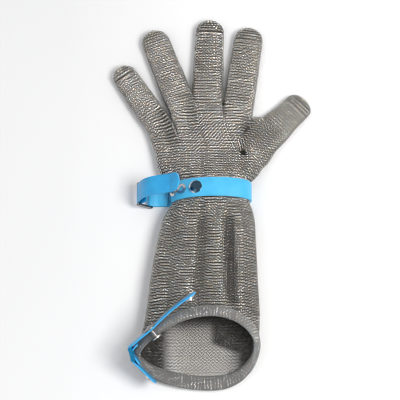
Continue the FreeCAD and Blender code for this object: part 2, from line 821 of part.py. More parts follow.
def build_sockets(angles):
    """The wrist belt's snap sockets, one at each angle."""
    radius, bore, height = dim("socket_radius"), dim("socket_bore"), dim("socket_height")
    rings = []
    for number, angle in enumerate(angles):
        ring = ring_body(f"socket_{number}", radius, bore, height)
        ring.Placement = FreeCAD.Placement(*belt_place(angle, num("snap_seat")))
        rings.append(ring)
    pair = doc.addObject("Part::Compound", "socket_pair")
    pair.Links = rings
    pair.Label = "wrist_sockets"
    return pair


def build_wrist_rivet():
    """The cap on the belt and the washer inside the glove."""
    at = angle_at(num("strap_rivet_x"))
    depth = belt_grow(True) + num("mail_gauge") + num("washer_gauge") + num("washer_seat")
    cap = rivet("wrist_rivet", depth + num("shank_end"))
    cap.Placement = FreeCAD.Placement(*belt_place(at, num("snap_seat")))
    hole = dim("snap_shank_radius") + dim("snap_hole_play")
    washer = ring_body("wrist_rivet_washer", dim("washer_radius"), hole, dim("washer_gauge"))
    washer.Placement = FreeCAD.Placement(*belt_place(at, -depth))
    return [cap, washer]


def build_wrist_belt():
    upper = angle_at(num("strap_socket_x"))
    lower = angle_below(upper, num("socket_pitch"))
    strap = build_wrist_loop(angle_below(lower, num("strap_overhang")))
    frame = slide("wrist_slide", dim("strap_width"), dim("slide_pitch"))
    inner_bar = V(num("slide_x"), num("strap_station"), eye_height())
    turn = FreeCAD.Rotation(V(0, 1, 0), num("slide_tilt") - 180)
    frame.Placement = FreeCAD.Placement(inner_bar, turn)
    tab = build_wrist_tab(wrist_hinge(), upper)
    return [strap, frame] + tab + [build_sockets((upper, lower))] + build_wrist_rivet()


# --- Cuff belt ----------------------------------------------------------------------------------------


def belt_plane_turn(angle):
    """Rotation whose local Y is the fold's bar and whose local X runs at this angle in the
    cuff belt's plane, where 0 is across the glove. Angles are anticlockwise from above."""
    lean = math.radians(num("fold_lean"))
    bar = V(0, -math.sin(lean), math.cos(lean))
    side = V(1, 0, 0)
    base = FreeCAD.Rotation(side, bar, side.cross(bar), "XYZ")
    return base.multiply(FreeCAD.Rotation(V(0, 1, 0), angle))


def plain_band(label, start, end):
    """A band along local X between two Sizes, with its local +Z face where an eye's is."""
    body = new_body(label)
    outer, bore = eye_radii()
    band = box_sketch(body, f"{label}_band", "XZ_Plane", start, end, bore, outer)
    pad(body, band, dim("cuff_belt_width"), True)
    return body


def build_cuff_rivet(fold, turn):
    """The cap on the long leg's outer face and the washer inside the cuff."""
    outer = eye_radii()[0].value
    seat = outer + num("snap_seat")
    at = V(num("long_rivet"), num("long_rivet_side"), 0)
    cap = rivet("cuff_rivet", num("long_shank"))
    cap.Placement = FreeCAD.Placement(fold + turn.multVec(at + V(0, 0, seat)), turn)
    hole = dim("snap_shank_radius") + dim("snap_hole_play")
    washer = ring_body("cuff_rivet_washer", dim("washer_radius"), hole, dim("washer_gauge"))
    sunk = outer - num("long_shank") + num("long_washer")
    washer.Placement = FreeCAD.Placement(fold + turn.multVec(at + V(0, 0, sunk)), turn)
    return [cap, washer]


def build_long_leg(fold, turn):
    """The leg over the cuff: riveted by the fold, then a bend, then a free end with a stud."""
    width = dim("cuff_belt_width")
    outer, bore = (radius.value for radius in eye_radii())
    fixed = belt_end("cuff_belt_fixed", width, dim("long_fixed"))
    fixed.Placement = FreeCAD.Placement(fold, turn)
    hole = dim("snap_shank_radius") + dim("snap_hole_play")
    at = V(num("long_rivet"), num("long_rivet_side"), BAND_DRILL_START)
    drill = cylinder("cuff_rivet_hole", hole, BAND_DRILL_LENGTH, fold + turn.multVec(at), turn)
    strap = cut("cuff_belt_drilled", fixed, drill)
    strap.Label = "cuff_strap"

    bend = dim("long_fixed") + dim("long_gap")
    tail = plain_band("cuff_strap_tail", bend + dim("long_gap"), dim("long_length"))
    round_end(tail, tail.Tip, dim("long_length"))
    tail.Placement = FreeCAD.Placement(fold, turn)
    tail_stud = stud("tail_stud")
    foot = V(num("long_length") - num("long_stud"), 0, bore - num("stud_seat"))
    flip = FreeCAD.Rotation(V(1, 0, 0), 180)
    tail_stud.Placement = FreeCAD.Placement(fold + turn.multVec(foot), turn.multiply(flip))
    bend_at = fold + turn.multVec(V(bend.value, 0, (outer + bore) / 2))
    print("cuff tail bends at", [round(c, 3) for c in bend_at])
    return [strap, tail, tail_stud]


def build_short_leg(bar):
    """The leg under the mouth's lower lip, on the slide's second bar, with its socket."""
    turn = belt_plane_turn(num("short_turn"))
    leg = belt_end("cuff_strap_end", dim("cuff_belt_width"), dim("short_length"))
    leg.Placement = FreeCAD.Placement(bar, turn)
    seat = eye_radii()[0].value + num("snap_seat")
    at = V(num("short_length") - num("short_socket"), 0, seat)
    radius, bore, height = dim("socket_radius"), dim("socket_bore"), dim("socket_height")
    socket = ring_body("cuff_socket", radius, bore, height)
    socket.Placement = FreeCAD.Placement(bar + turn.multVec(at), turn)
    return [leg, socket]


def build_cuff_belt():
    fold = V(num("fold_x"), num("fold_y"), num("fold_z"))
    slide_turn = belt_plane_turn(num("fold_turn"))
    frame = slide("cuff_slide", dim("cuff_belt_width"), dim("fold_pitch"))
    frame.Placement = FreeCAD.Placement(fold, slide_turn)
    second = fold + slide_turn.multVec(V(num("fold_pitch"), 0, 0))
    print("cuff end swings about", [round(c, 3) for c in second])

    # The long leg's outer face is away from the mouth.
    flip = FreeCAD.Rotation(V(1, 0, 0), 180)
    long_turn = belt_plane_turn(num("long_turn")).multiply(flip)
    parts = [frame] + build_long_leg(fold, long_turn)
    return parts + build_cuff_rivet(fold, long_turn) + build_short_leg(second)


# --- Build, check and write -----------------------------------------------------------------------------


def check_and_write(parts):
    """Stops on any failed object or bad shape, then writes each sub-part to its own STEP file."""
    doc.recompute()
    for obj in doc.Objects:
        if "Invalid" in obj.State or "Error" in obj.State:
            raise RuntimeError(f"{obj.Name} failed: {obj.State}")
    for part in parts:
        shape = part.Shape
        if shape.isNull() or not shape.isValid() or shape.Volume <= 0 or not shape.Solids:
            raise RuntimeError(f"{part.Label} has a bad shape")
    os.makedirs("parts", exist_ok=True)
    for part in parts:
        part.Shape.exportStep(f"parts/{part.Label}.step")
        print(part.Label, len(part.Shape.Solids), round(part.Shape.Volume, 1))


fill_sheet()
all_parts = build_fingers()
all_parts.append(build_palm())
all_parts.append(build_wrist())
all_parts += build_cuff()
all_parts += build_wrist_belt()
all_parts += build_cuff_belt()
check_and_write(all_parts)
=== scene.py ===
import math
from collections import namedtuple
from functools import partial
import bpy
import numpy as np
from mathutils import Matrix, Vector


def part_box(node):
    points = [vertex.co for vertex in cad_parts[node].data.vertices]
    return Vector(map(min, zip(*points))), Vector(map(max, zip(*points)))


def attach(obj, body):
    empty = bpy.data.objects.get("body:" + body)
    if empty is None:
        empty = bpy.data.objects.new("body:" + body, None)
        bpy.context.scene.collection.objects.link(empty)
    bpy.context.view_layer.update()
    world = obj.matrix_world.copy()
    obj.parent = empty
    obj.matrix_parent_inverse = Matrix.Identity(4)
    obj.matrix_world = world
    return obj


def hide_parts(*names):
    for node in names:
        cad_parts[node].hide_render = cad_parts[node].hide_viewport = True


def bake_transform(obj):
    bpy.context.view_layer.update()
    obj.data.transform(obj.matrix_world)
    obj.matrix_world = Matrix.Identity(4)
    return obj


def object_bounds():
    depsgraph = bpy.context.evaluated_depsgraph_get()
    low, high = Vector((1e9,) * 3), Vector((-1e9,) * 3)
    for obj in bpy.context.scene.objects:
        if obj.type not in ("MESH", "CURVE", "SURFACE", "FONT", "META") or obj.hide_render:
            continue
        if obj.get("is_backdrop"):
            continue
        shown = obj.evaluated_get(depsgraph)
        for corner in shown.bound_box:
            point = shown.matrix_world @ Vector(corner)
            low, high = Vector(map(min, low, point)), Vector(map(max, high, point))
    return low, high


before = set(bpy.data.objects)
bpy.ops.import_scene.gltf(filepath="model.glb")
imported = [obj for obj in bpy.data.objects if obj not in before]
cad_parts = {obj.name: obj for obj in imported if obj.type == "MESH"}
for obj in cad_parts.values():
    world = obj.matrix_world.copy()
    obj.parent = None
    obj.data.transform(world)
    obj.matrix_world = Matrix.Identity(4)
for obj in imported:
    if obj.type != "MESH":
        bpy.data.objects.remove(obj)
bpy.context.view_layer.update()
shine = bpy.data.collections.new("shine")  # what the glint lights fall on

MM = 0.001
rng = np.random.default_rng(11)


# --- The mail's lattice ---
# Rings sit on a lattice of columns that run along the glove. Alternate columns lean opposite
# ways and are shifted by half a pitch, which is how the European four-in-one weave lies.

HEM_PITCH = 3.6
RING = 1.95
WIRE = 0.27
# Station along the glove, then half pitch, lean in degrees and shift of the rings. Those of the
# hand stand closer.
WEAVE = (
    (-250, 1.9, 26, 0.3),
    (-20, 1.85, 26, 0.3),
    (30, 1.72, 25, 0.1),
    (125, 1.68, 27, 0.08),
    (250, 1.68, 27, 0.08),
)
INSIDE_SHIFT = -0.32  # where the sheet is seen from inside the cuff
ROUND_STEPS = 12
WIRE_STEPS = 5
SIDE = 2  # columns left over at each side of the hand, beyond the fingers' shares
FINGER_COLUMNS = 15  # a finger's share of the hand's columns, on each face
COLUMNS = 2 * (4 * FINGER_COLUMNS + 2 * SIDE)
FINGER_LOOP = 2 * FINGER_COLUMNS + 4 * SIDE

# Oval sections of the hand and cuff: station y, left, right, low, top, crest, left z, right z, and
# how square each quarter is (upper left, upper right, lower left, lower right).
STATIONS = np.array([
    (-250, -76, 55, 3.8, 38.4, 6, 18.6, 21.6, 1.7, 1.9, 2.0, 2.05),
    (-191, -76, 55.4, 3.8, 38.4, 6, 18.6, 21.6, 1.7, 1.9, 2.0, 2.05),
    (-176, -72.6, 56.8, 3.8, 38.4, 6, 18.2, 21, 1.75, 1.9, 2.05, 2.1),
    (-160, -68.2, 57.8, 3.8, 38.2, 6, 17.5, 20, 1.85, 1.95, 2.2, 2.2),
    (-138, -64.6, 57.8, 3.8, 37.8, 5, 16, 19, 1.95, 2.0, 2.4, 2.4),
    (-110, -61.6, 56.4, 3.6, 37.2, 5, 15, 18.5, 2.0, 2.0, 2.6, 2.6),
    (-81, -57.0, 55.2, 3.6, 36.8, 5, 14, 18, 2.0, 2.0, 2.5, 2.5),
    (-54, -52.2, 54.2, 3.6, 36.4, 6, 13, 17.5, 2.0, 2.0, 2.4, 2.4),
    (-31, -46.0, 52.2, 3.6, 36, 8, 11, 17.5, 2.0, 2.0, 2.3, 2.3),
    (-15, -37.6, 47.8, 3.6, 35.3, 10, 9.5, 18, 2.0, 2.0, 2.2, 2.2),
    (7, -37.4, 47.6, 3.4, 35.2, 10, 9.5, 18, 2.0, 2.0, 2.2, 2.2),
    (17, -47.5, 56.5, 2.4, 31, 9, 9, 14, 2.1, 2.1, 2.4, 2.4),
    (29, -52.8, 62.5, 1.6, 25.5, 6, 8.5, 10.5, 2.2, 2.2, 2.6, 2.6),
    (44, -56.0, 65, 1.3, 20, 3, 8, 8.5, 2.4, 2.4, 2.8, 2.8),
    (58, -60.4, 60, 1.3, 16.8, 0, 7.5, 7.5, 2.6, 2.6, 3.0, 3.0),
    (74, -65.4, 54, 1.3, 15.2, -4, 7.5, 7.5, 2.8, 2.8, 3.0, 3.0),
    (90, -69.6, 51.5, 1.3, 14.2, -7, 7.2, 7.2, 2.8, 2.8, 3.0, 3.0),
    (110, -73, 54, 1.3, 13.2, -9, 7, 7, 2.8, 2.8, 3.0, 3.0),
    (135, -73, 56, 1.3, 12.6, -9, 6.8, 6.8, 2.8, 2.8, 3.0, 3.0),
    (150, -73, 56, 1.3, 12.4, -9, 6.8, 6.8, 2.8, 2.8, 3.0, 3.0),
], float)

# Root point, lean in degrees from +Y towards -X, then the reach and the knuckle's distance from
# the root, and the widths.
Finger = namedtuple("Finger", "x y lean reach knuckle root_width tip_width")
FINGERS = {
    "little": Finger(-64.5, 98, 32.5, 62.5, 28, 31, 28.5),
    "ring": Finger(-33.2, 119, 20.6, 81.5, 36, 34, 32),
    "middle": Finger(2.2, 130, -2, 79, 36, 36, 32.5),
    "index": Finger(40.2, 128, -8.2, 72, 33, 34.5, 33),
}
THUMB = Finger(66.2, 65.2, -44.5, 64, 29, 40, 33)
MESH = 0.9  # from the mail's middle to its outer face
FINGER_TOP = 12.2
FINGER_LOW = 1.3
SPLIT = 44.0  # where the fingers' columns take over from the hand's
FIRST = -244.8
LAST = 200
UP = np.array([0, 0, 1.0])
FORWARD = np.array([0, 1.0, 0])

# Mouth: the hem's middle line runs through these heights and stations.
MOUTH_LOW = (-223.2, 3.8)
MOUTH_HIGH = (-147.6, 38.4)
MOUTH_SLOPE = (MOUTH_HIGH[0] - MOUTH_LOW[0]) / (MOUTH_HIGH[1] - MOUTH_LOW[1])


def weave(y, column):
    """One of the weave's columns at these stations."""
    return np.interp(y, [row[0] for row in WEAVE], [row[column] for row in WEAVE])


def weave_rows(first, last):
    """Stations of the lattice's rows, half a pitch apart."""
    rows = [first]
    while rows[-1] < last:
        rows.append(rows[-1] + float(weave(rows[-1], 1)))
    return np.array(rows)


def smooth(x):
    """A soft step from 0 to 1."""
    x = np.clip(x, 0, 1)
    return x * x * (3 - 2 * x)


def stations_at(y):
    """Every section value at these stations, by a smooth curve through the table."""
    y = np.atleast_1d(np.asarray(y, float))
    xs = STATIONS[:, 0]
    vs = STATIONS[:, 1:]
    slopes = np.gradient(vs, xs, axis=0)
    i = np.clip(np.searchsorted(xs, y) - 1, 0, len(xs) - 2)
    span = (xs[i + 1] - xs[i])[:, None]
    t = ((y - xs[i]) / span[:, 0])[:, None]
    a, b = vs[i], vs[i + 1]
    ma, mb = slopes[i] * span, slopes[i + 1] * span
    from_a = (2 * t**3 - 3 * t**2 + 1) * a + (t**3 - 2 * t**2 + t) * ma
    return from_a + (3 * t**2 - 2 * t**3) * b + (t**3 - t**2) * mb


LOOP_SAMPLES = 420


def loop_points(left, right, low, top, crest, left_z, right_z, up_left, up_right, low_left, low_right):
    """A closed oval as two halves, from the left extreme over the top to the right one and back."""
    a = np.linspace(math.pi, 0, LOOP_SAMPLES)
    c, s = np.cos(a), np.abs(np.sin(a))
    on_left = c < 0
    wide = np.where(on_left, crest - left, right - crest)
    level = np.where(on_left, left_z, right_z)
    halves = []
    for height, n_left, n_right in ((top, up_left, up_right), (low, low_left, low_right)):
        power = 2 / np.where(on_left, n_left, n_right)
        x = crest + np.sign(c) * wide * np.abs(c) ** power
        z = level + (height - level) * s**power
        halves.append((x, z))
    (tx, tz), (bx, bz) = halves
    return (tx, tz), (bx[::-1], bz[::-1])


def running(lengths):
    """Distance from a line's start to each of its points."""
    return np.concatenate([[0], np.cumsum(lengths)])


def spaced(x, z, fractions):
    """Points at these shares of a curve's length."""
    run = running(np.hypot(np.diff(x), np.diff(z)))
    return np.interp(fractions * run[-1], run, x), np.interp(fractions * run[-1], run, z)


def oval(values, count):
    """count points evenly round an oval, half of them on each of its halves. Point i stands at
    i + 0.5, and 0 is the left extreme."""
    top, low = loop_points(*values)
    half = count // 2
    share = (np.arange(half) + 0.5) / half
    tx, tz = spaced(*top, share)
    bx, bz = spaced(*low, share)
    return np.concatenate([tx, bx]), np.concatenate([tz, bz])


# Creases of the hand: start and end of each line in plan, half width and depth.
CREASES = (
    ((-50, 104), (-36, 22), 4.5, 2.6),
    ((-19, 130), (-14, 52), 4.0, 2.4),
    ((23, 128), (20, 78), 4.0, 1.8),
    ((50, 92), (37, 14), 4.5, 3.4),
    ((-6, 50), (-4, 8), 5.0, 2.2),
    ((14, 44), (16, 8), 5.0, 1.8),
)


def groove(distance, wide, deep):
    """Height of a groove's floor at a distance from its middle."""
    return -deep * np.exp(-((distance / wide) ** 2))


def crease_drop(x, y):
    """How far the creases pull the upper side down at points of the plan."""
    drop = np.zeros(np.shape(x))
    for (x0, y0), (x1, y1), wide, deep in CREASES:
        length = math.hypot(x1 - x0, y1 - y0)
        ux, uy = (x1 - x0) / length, (y1 - y0) / length
        run = (x - x0) * ux + (y - y0) * uy
        aside = (x - x0) * uy - (y - y0) * ux
        ends = smooth((run + 4) / 14) * smooth((length + 6 - run) / 22)
        drop = drop + groove(aside, wide, deep) * ends
    return drop


def pleats(x, y, from_mouth):
    """Soft folds of the upper side: long grooves down the cuff and a gathering at the belt."""
    down = smooth((-24 - y) / 26) * (0.25 + 0.75 * smooth(from_mouth / 30))
    lift = down * (
        groove(x - 27 + (y + 90) * 0.02, 5.0, 6.5)
        + groove(x + 6 - (y + 90) * 0.05, 5.0, 5.0)
        + groove(x + 41, 6.5, 3.2)
        - groove(x - 39, 7, 2.4)
        - groove(x - 12, 8, 2.2)
        - groove(x + 23, 9, 1.8)
    )
    near = np.exp(-(((y + 24) / 12) ** 2)) + np.exp(-(((y - 16) / 11) ** 2))
    lift = lift + near * (1.0 * np.sin(x * 0.42 + 0.6) + 0.6 * np.sin(x * 0.83 + 2.0))
    wave = 0.5 * np.sin(x * 0.11 + y * 0.06) + 0.4 * np.sin(x * 0.07 - y * 0.09 + 1.0)
    return (lift + wave) * smooth(from_mouth / 14) + crease_drop(x, y)


def mouth_side(p):
    """Distance of points in front of the mouth's plane, measured along Y."""
    return p[..., 1] - (MOUTH_LOW[0] + (p[..., 2] - MOUTH_LOW[1]) * MOUTH_SLOPE)


BELT_PULL = np.array([0, -2.2, 6.0])


def belt_pull(p):
    """The cuff belt holds the mouth's upper left corner up."""
    x, y, z = p[..., 0], p[..., 1], p[..., 2]
    share = np.exp(-(((x + 60) / 18) ** 2)) * smooth((-118 - y) / 45) * smooth((z - 12) / 14)
    return share[..., None] * BELT_PULL


def main_grid(row_y):
    """Lattice of the hand and cuff tube: rows at these stations, COLUMNS points in each. Also how
    far each point is in front of the mouth."""
    values = stations_at(np.minimum(row_y, STATIONS[-1, 0]))
    grid = np.empty((len(row_y), COLUMNS, 3))
    over = np.empty(grid.shape[:2])
    for k, row in enumerate(values):
        x, z = oval(row, COLUMNS)
        level = np.interp(x, [row[0], row[1]], [row[5], row[6]])
        over[k] = smooth((z - level) / np.maximum((row[3] - level) * 0.8, 1))
        grid[k] = np.stack([x, np.full(COLUMNS, row_y[k]), z], -1)
    plain = grid.copy()
    ahead = mouth_side(grid)
    grid[..., 2] += pleats(grid[..., 0], grid[..., 1], ahead) * over
    return grid + belt_pull(plain), plain, ahead


def finger_frame(finger):
    """A finger's root and its unit vectors along and across."""
    a = math.radians(finger.lean)
    along = np.array([-math.sin(a), math.cos(a), 0])
    across = np.array([math.cos(a), math.sin(a), 0])
    return np.array([finger.x, finger.y, 0.0]), along, across


def finger_half(finger, s):
    """Half width of a finger at a distance s from its root, and how far along it that is."""
    share = smooth(s / (finger.reach - finger.tip_width / 2))
    return (finger.root_width + (finger.tip_width - finger.root_width) * share) / 2 - MESH, share


def finger_values(finger, s):
    """Oval section of a finger at a distance s from its root."""
    half, share = finger_half(finger, s)
    high = FINGER_TOP - 1.6 * share
    middle = (high + FINGER_LOW) / 2
    return (-half, half, FINGER_LOW, high, 0, middle, middle, 2.3, 2.3, 2.5, 2.5)


def finger_row(finger, s, values, count):
    """Points round one section of a finger."""
    root, along, across = finger_frame(finger)
    x, z = oval(values, count)
    return root + along * s + across * x[:, None] + UP * z[:, None]


LEFT_SIDE = (36, 37, 0, 1)  # a finger's columns between its two shares
RIGHT_SIDE = (17, 18, 19, 20)


def finger_grid(index, finger, row_y, main):
    """Lattice of one finger, which starts as its share of the hand's columns and gathers into a
    tube. Also how far it has gathered at each row."""
    distances = row_y - finger.y
    grid = np.empty((len(row_y), FINGER_LOOP, 3))
    gathered = smooth((distances + 50) / 50)
    round_up = smooth((distances + 26) / 42)
    first = SIDE + FINGER_COLUMNS * index
    last_low = COLUMNS - SIDE - FINGER_COLUMNS * index
    for k, s in enumerate(distances):
        own = finger_row(finger, s, finger_values(finger, s), FINGER_LOOP)
        base = np.empty((FINGER_LOOP, 3))
        row = main[k]
        base[SIDE:SIDE + FINGER_COLUMNS] = row[first:first + FINGER_COLUMNS]
        base[-SIDE - FINGER_COLUMNS:-SIDE] = row[last_low - FINGER_COLUMNS:last_low]
        up_left = (row[first] + row[first - 1]) / 2
        up_right = (row[first + FINGER_COLUMNS - 1] + row[first + FINGER_COLUMNS]) / 2
        low_left = (row[last_low - 1] + row[last_low % COLUMNS]) / 2
        low_right = (row[last_low - FINGER_COLUMNS] + row[last_low - FINGER_COLUMNS - 1]) / 2
        for n, v in enumerate(LEFT_SIDE):
            across = low_left + (up_left - low_left) * (n + 0.5) / 4
            base[v] = row[(n - SIDE) % COLUMNS] if index == 0 else across
        for n, v in enumerate(RIGHT_SIDE):
            across = up_right + (low_right - up_right) * (n + 0.5) / 4
            base[v] = row[COLUMNS // 2 - SIDE + n] if index == 3 else across
        grid[k] = base + (own - base) * np.array([gathered[k], gathered[k], round_up[k]])
    return grid, gathered


# --- Rings ---


def normal(v):
    """Vectors brought to a length of one."""
    return v / (np.linalg.norm(v, axis=-1, keepdims=True) + 1e-12)


def lattice_frames(grid):
    """Unit vectors of a closed lattice, along its columns and out of its sheet."""
    along = normal(np.gradient(grid, axis=0))
    around = np.roll(grid, -1, 1) - np.roll(grid, 1, 1)
    return along, normal(np.cross(around, along))


def hollow(grid, out):
    """How deep each point of a closed lattice lies below the sheet around it, in millimetres."""
    spread = grid
    for reach in (1, 2, 3):
        spread = (np.roll(spread, reach, 1) + np.roll(spread, -reach, 1) + spread) / 3
    padded = np.pad(spread, ((4, 4), (0, 0), (0, 0)), mode="edge")
    spread = sum(padded[i:i + len(grid)] for i in range(9)) / 9
    return np.sum((spread - grid) * out, -1)


def pick(grid, parity, keep, rows, inside=None, seen_inside=0):
    """Ring places of a lattice: every second point of each column. For each ring: its centre, the
    way along its column, the way out of the sheet, its lean, its painted share of the light outside
    and inside, and how loosely it lies. Rings in a fold get painted shade and rings on a ridge painted
    light, and crowded columns are looser. Rings shift a little towards their low side, or the other
    way where the sheet is seen inside."""
    along, out = lattice_frames(grid)
    deep = hollow(grid, out)
    # Painted shade in folds and painted light on ridges, from how deep each point lies.
    light = 1 - 0.32 * smooth((deep - 0.15) / 2.6) + 0.10 * smooth((-deep - 0.2) / 2)
    if inside is None:
        inside = np.full(light.shape, 0.6)
    apart = np.linalg.norm(np.roll(grid, -1, 1) - np.roll(grid, 1, 1), axis=-1) / 2
    loose = 0.12 + 0.5 * np.clip(1.85 - apart, 0, 0.6)
    k, c = np.meshgrid(np.arange(grid.shape[0]), np.arange(grid.shape[1]), indexing="ij")
    mask = ((k + c + parity) % 2 == 0) & keep & rows[:, None]
    lean = np.where((c + parity) % 2 == 0, 1.0, -1.0)
    shift = weave(grid[..., 1], 3)
    shift = (shift + (INSIDE_SHIFT - shift) * seen_inside) * lean
    lean = lean * np.radians(weave(grid[..., 1], 2))
    centre = grid - along * shift[..., None]
    return [values[mask] for values in (centre, along, out, lean, light, inside, loose)]


def join(sets):
    """Several sets of ring places as one."""
    return [np.concatenate(parts) for parts in zip(*sets)]


def link_object(name, data):
    """A new object in the scene."""
    obj = bpy.data.objects.new(name, data)
    bpy.context.scene.collection.objects.link(obj)
    return obj


def point_values(mesh, name, values):
    """Give each of a mesh's points a value that its material reads."""
    layer = mesh.attributes.new(name, "FLOAT", "POINT")
    layer.data.foreach_set("value", values.astype(np.float32).ravel())


def smooth_object(name, points, faces, material):
    """A smooth mesh from points in millimetres."""
    mesh = bpy.data.meshes.new(name)
    mesh.from_pydata((points * MM).tolist(), [], faces)
    mesh.update()
    mesh.materials.append(material)
    for poly in mesh.polygons:
        poly.use_smooth = True
    return link_object(name, mesh)


def ring_object(name, places, material):
    """One mesh holding a torus of wire at each place."""
    centre, along, out, lean, light, inside, loose = places
    n = len(centre)
    centre = centre + rng.normal(0, 1, (n, 3)) * loose[:, None]
    tilt = lean * (1 + rng.normal(0, 0.10, n))
    axis = out * np.cos(tilt)[:, None] + along * np.sin(tilt)[:, None]
    axis = normal(axis + rng.normal(0, 0.05, (n, 3)))
    first = normal(np.cross(axis, along))
    second = np.cross(axis, first)
    phi = np.linspace(0, 2 * math.pi, ROUND_STEPS, endpoint=False)
    psi = np.linspace(0, 2 * math.pi, WIRE_STEPS, endpoint=False)
    radial = first[:, None] * np.cos(phi)[None, :, None] + second[:, None] * np.sin(phi)[None, :, None]
    size = RING * (1 + rng.normal(0, 0.012, n))
    reach = size[:, None, None, None] + WIRE * np.cos(psi)[None, None, :, None]
    points = (
        centre[:, None, None]
        + radial[:, :, None] * reach
        + axis[:, None, None] * (WIRE * np.sin(psi))[None, None, :, None]
    )
    per_ring = ROUND_STEPS * WIRE_STEPS
    i, j = np.meshgrid(np.arange(ROUND_STEPS), np.arange(WIRE_STEPS), indexing="ij")
    after = (i + 1) % ROUND_STEPS * WIRE_STEPS
    here = i * WIRE_STEPS
    beside = (j + 1) % WIRE_STEPS
    quads = np.stack([here + j, after + j, after + beside, here + beside], -1).reshape(-1, 4)
    faces = (quads[None] + (np.arange(n) * per_ring)[:, None, None]).reshape(-1)
    mesh = bpy.data.meshes.new(name)
    mesh.vertices.add(n * per_ring)
    mesh.vertices.foreach_set("co", (points * MM).astype(np.float32).ravel())
    mesh.loops.add(len(faces))
    mesh.loops.foreach_set("vertex_index", faces.astype(np.int32))
    mesh.polygons.add(n * per_ring)
    mesh.polygons.foreach_set("loop_start", np.arange(0, n * per_ring * 4, 4, dtype=np.int32))
    mesh.polygons.foreach_set("use_smooth", np.ones(n * per_ring, bool))
    mesh.update(calc_edges=True)
    # Each ring has its own cell of the map.
    cells = math.ceil(math.sqrt(n))
    corner = np.stack([
        np.stack([i, i + 1, i + 1, i], -1) / ROUND_STEPS,
        np.stack([j, j, j + 1, j + 1], -1) / WIRE_STEPS,
    ], -1).reshape(-1, 2) * 0.84 + 0.08
    cell = np.stack([np.arange(n) % cells, np.arange(n) // cells], -1)
    uv = (cell[:, None] + corner[None]) / cells
    layer = mesh.uv_layers.new(name="OFBake")
    layer.uv.foreach_set("vector", uv.astype(np.float32).ravel())
    point_values(mesh, "tone", np.repeat(rng.random(n), per_ring))
    # How far each point of the wire stands out of the sheet, on either side of it.
    rise = np.einsum("nijk,nk->nij", points - centre[:, None, None], out)
    rise = rise / (RING * np.sin(np.abs(lean)) + WIRE)[:, None, None]
    # Crest: painted light on each ring's crests and painted shade where rings pass through each other.
    point_values(mesh, "crest", np.clip(1.25 * np.abs(rise), 0, 1) ** 1.3)
    # Lit: painted light and shade, the ring's share of light, with the inside share on the wire's inner
    # side.
    turned = smooth(0.5 - 2 * rise)
    share = light[:, None, None] * (1 - turned + turned * inside[:, None, None])
    point_values(mesh, "lit", np.clip(share, 0, 1.3))
    mesh.validate()
    mesh.materials.append(material)
    obj = link_object(name, mesh)
    shine.objects.link(obj)
    return obj


def lattice_cell(row, column, columns):
    """The four corners of a cell of a closed lattice."""
    near, far = row * columns, (row + 1) * columns
    beside = (column + 1) % columns
    return near + column, near + beside, far + beside, far + column


SHADE_SHEET_DEPTH = 1.0
SHADE_SHEET_GAUGE = 0.3
SHADE_SHEET_LOWEST = 0.6


def shade_sheet(name, grid, keep, rows, outside=None, painted_glow=None):
    """A thin dark sheet just inside the mail: painted shade, standing for the shade seen between its
    rings. It lies outside the mail where outside is 1, and its last argument gives the painted light
    that it shows there."""
    out = lattice_frames(grid)[1]
    depth = np.full(grid.shape[:2], SHADE_SHEET_DEPTH) if outside is None else SHADE_SHEET_DEPTH * (1 - 2 * outside)
    points = grid - out * depth[..., None]
    points[..., 2] = np.maximum(points[..., 2], SHADE_SHEET_LOWEST)
    first, last = np.nonzero(rows)[0][[0, -1]]
    last = min(last + 1, len(grid) - 1)
    columns = grid.shape[1]
    solid = keep.ravel()
    cells = [lattice_cell(k, c, columns) for k in range(first, last) for c in range(columns)]
    faces = [cell for cell in cells if solid[list(cell)].all()]
    used = np.unique(faces)
    places = np.zeros(solid.shape, int)
    places[used] = np.arange(len(used))
    obj = smooth_object(name, points.reshape(-1, 3)[used], places[np.array(faces)].tolist(), SHADE)
    point_values(obj.data, "lit", np.zeros(len(used)) if painted_glow is None else painted_glow.ravel()[used])
    thick = obj.modifiers.new("thick", "SOLIDIFY")
    thick.thickness = SHADE_SHEET_GAUGE * MM
    thick.offset = 0
    return obj


# --- Materials ---


def new_material(name, metallic, roughness):
    """A material, with its node tree and shader."""
    mat = bpy.data.materials.new(name)
    mat.use_nodes = True
    shader = mat.node_tree.nodes["Principled BSDF"]
    shader.inputs["Metallic"].default_value = metallic
    shader.inputs["Roughness"].default_value = roughness
    return mat, mat.node_tree, shader


def noise(tree, scale, detail, stretch=None):
    """Noise fixed to the object. stretch scales it along each axis."""
    place = tree.nodes.new("ShaderNodeTexCoord")
    tex = tree.nodes.new("ShaderNodeTexNoise")
    tex.inputs["Scale"].default_value = scale
    tex.inputs["Detail"].default_value = detail
    source = place.outputs["Object"]
    if stretch:
        mapping = tree.nodes.new("ShaderNodeMapping")
        mapping.inputs["Scale"].default_value = stretch
        tree.links.new(source, mapping.inputs["Vector"])
        source = mapping.outputs["Vector"]
    tree.links.new(source, tex.inputs["Vector"])
    return tex.outputs["Fac"]


def ramp(tree, source, stops):
    """Colours that follow a value."""
    node = tree.nodes.new("ShaderNodeValToRGB")
    while len(node.color_ramp.elements) < len(stops):
        node.color_ramp.elements.new(0.5)
    for element, (at, colour) in zip(node.color_ramp.elements, stops):
        element.position = at
        element.color = (*colour, 1)
    tree.links.new(source, node.inputs["Fac"])
    return node.outputs["Color"]


def span(tree, source, low, high):
    """A value brought between two others."""
    node = tree.nodes.new("ShaderNodeMapRange")
    node.inputs["To Min"].default_value = low
    node.inputs["To Max"].default_value = high
    tree.links.new(source, node.inputs["Value"])
    return node.outputs["Result"]


def bump(tree, shader, source, strength, distance):
    """Fine relief."""
    node = tree.nodes.new("ShaderNodeBump")
    node.inputs["Strength"].default_value = strength
    node.inputs["Distance"].default_value = distance
    tree.links.new(source, node.inputs["Height"])
    tree.links.new(node.outputs["Normal"], shader.inputs["Normal"])


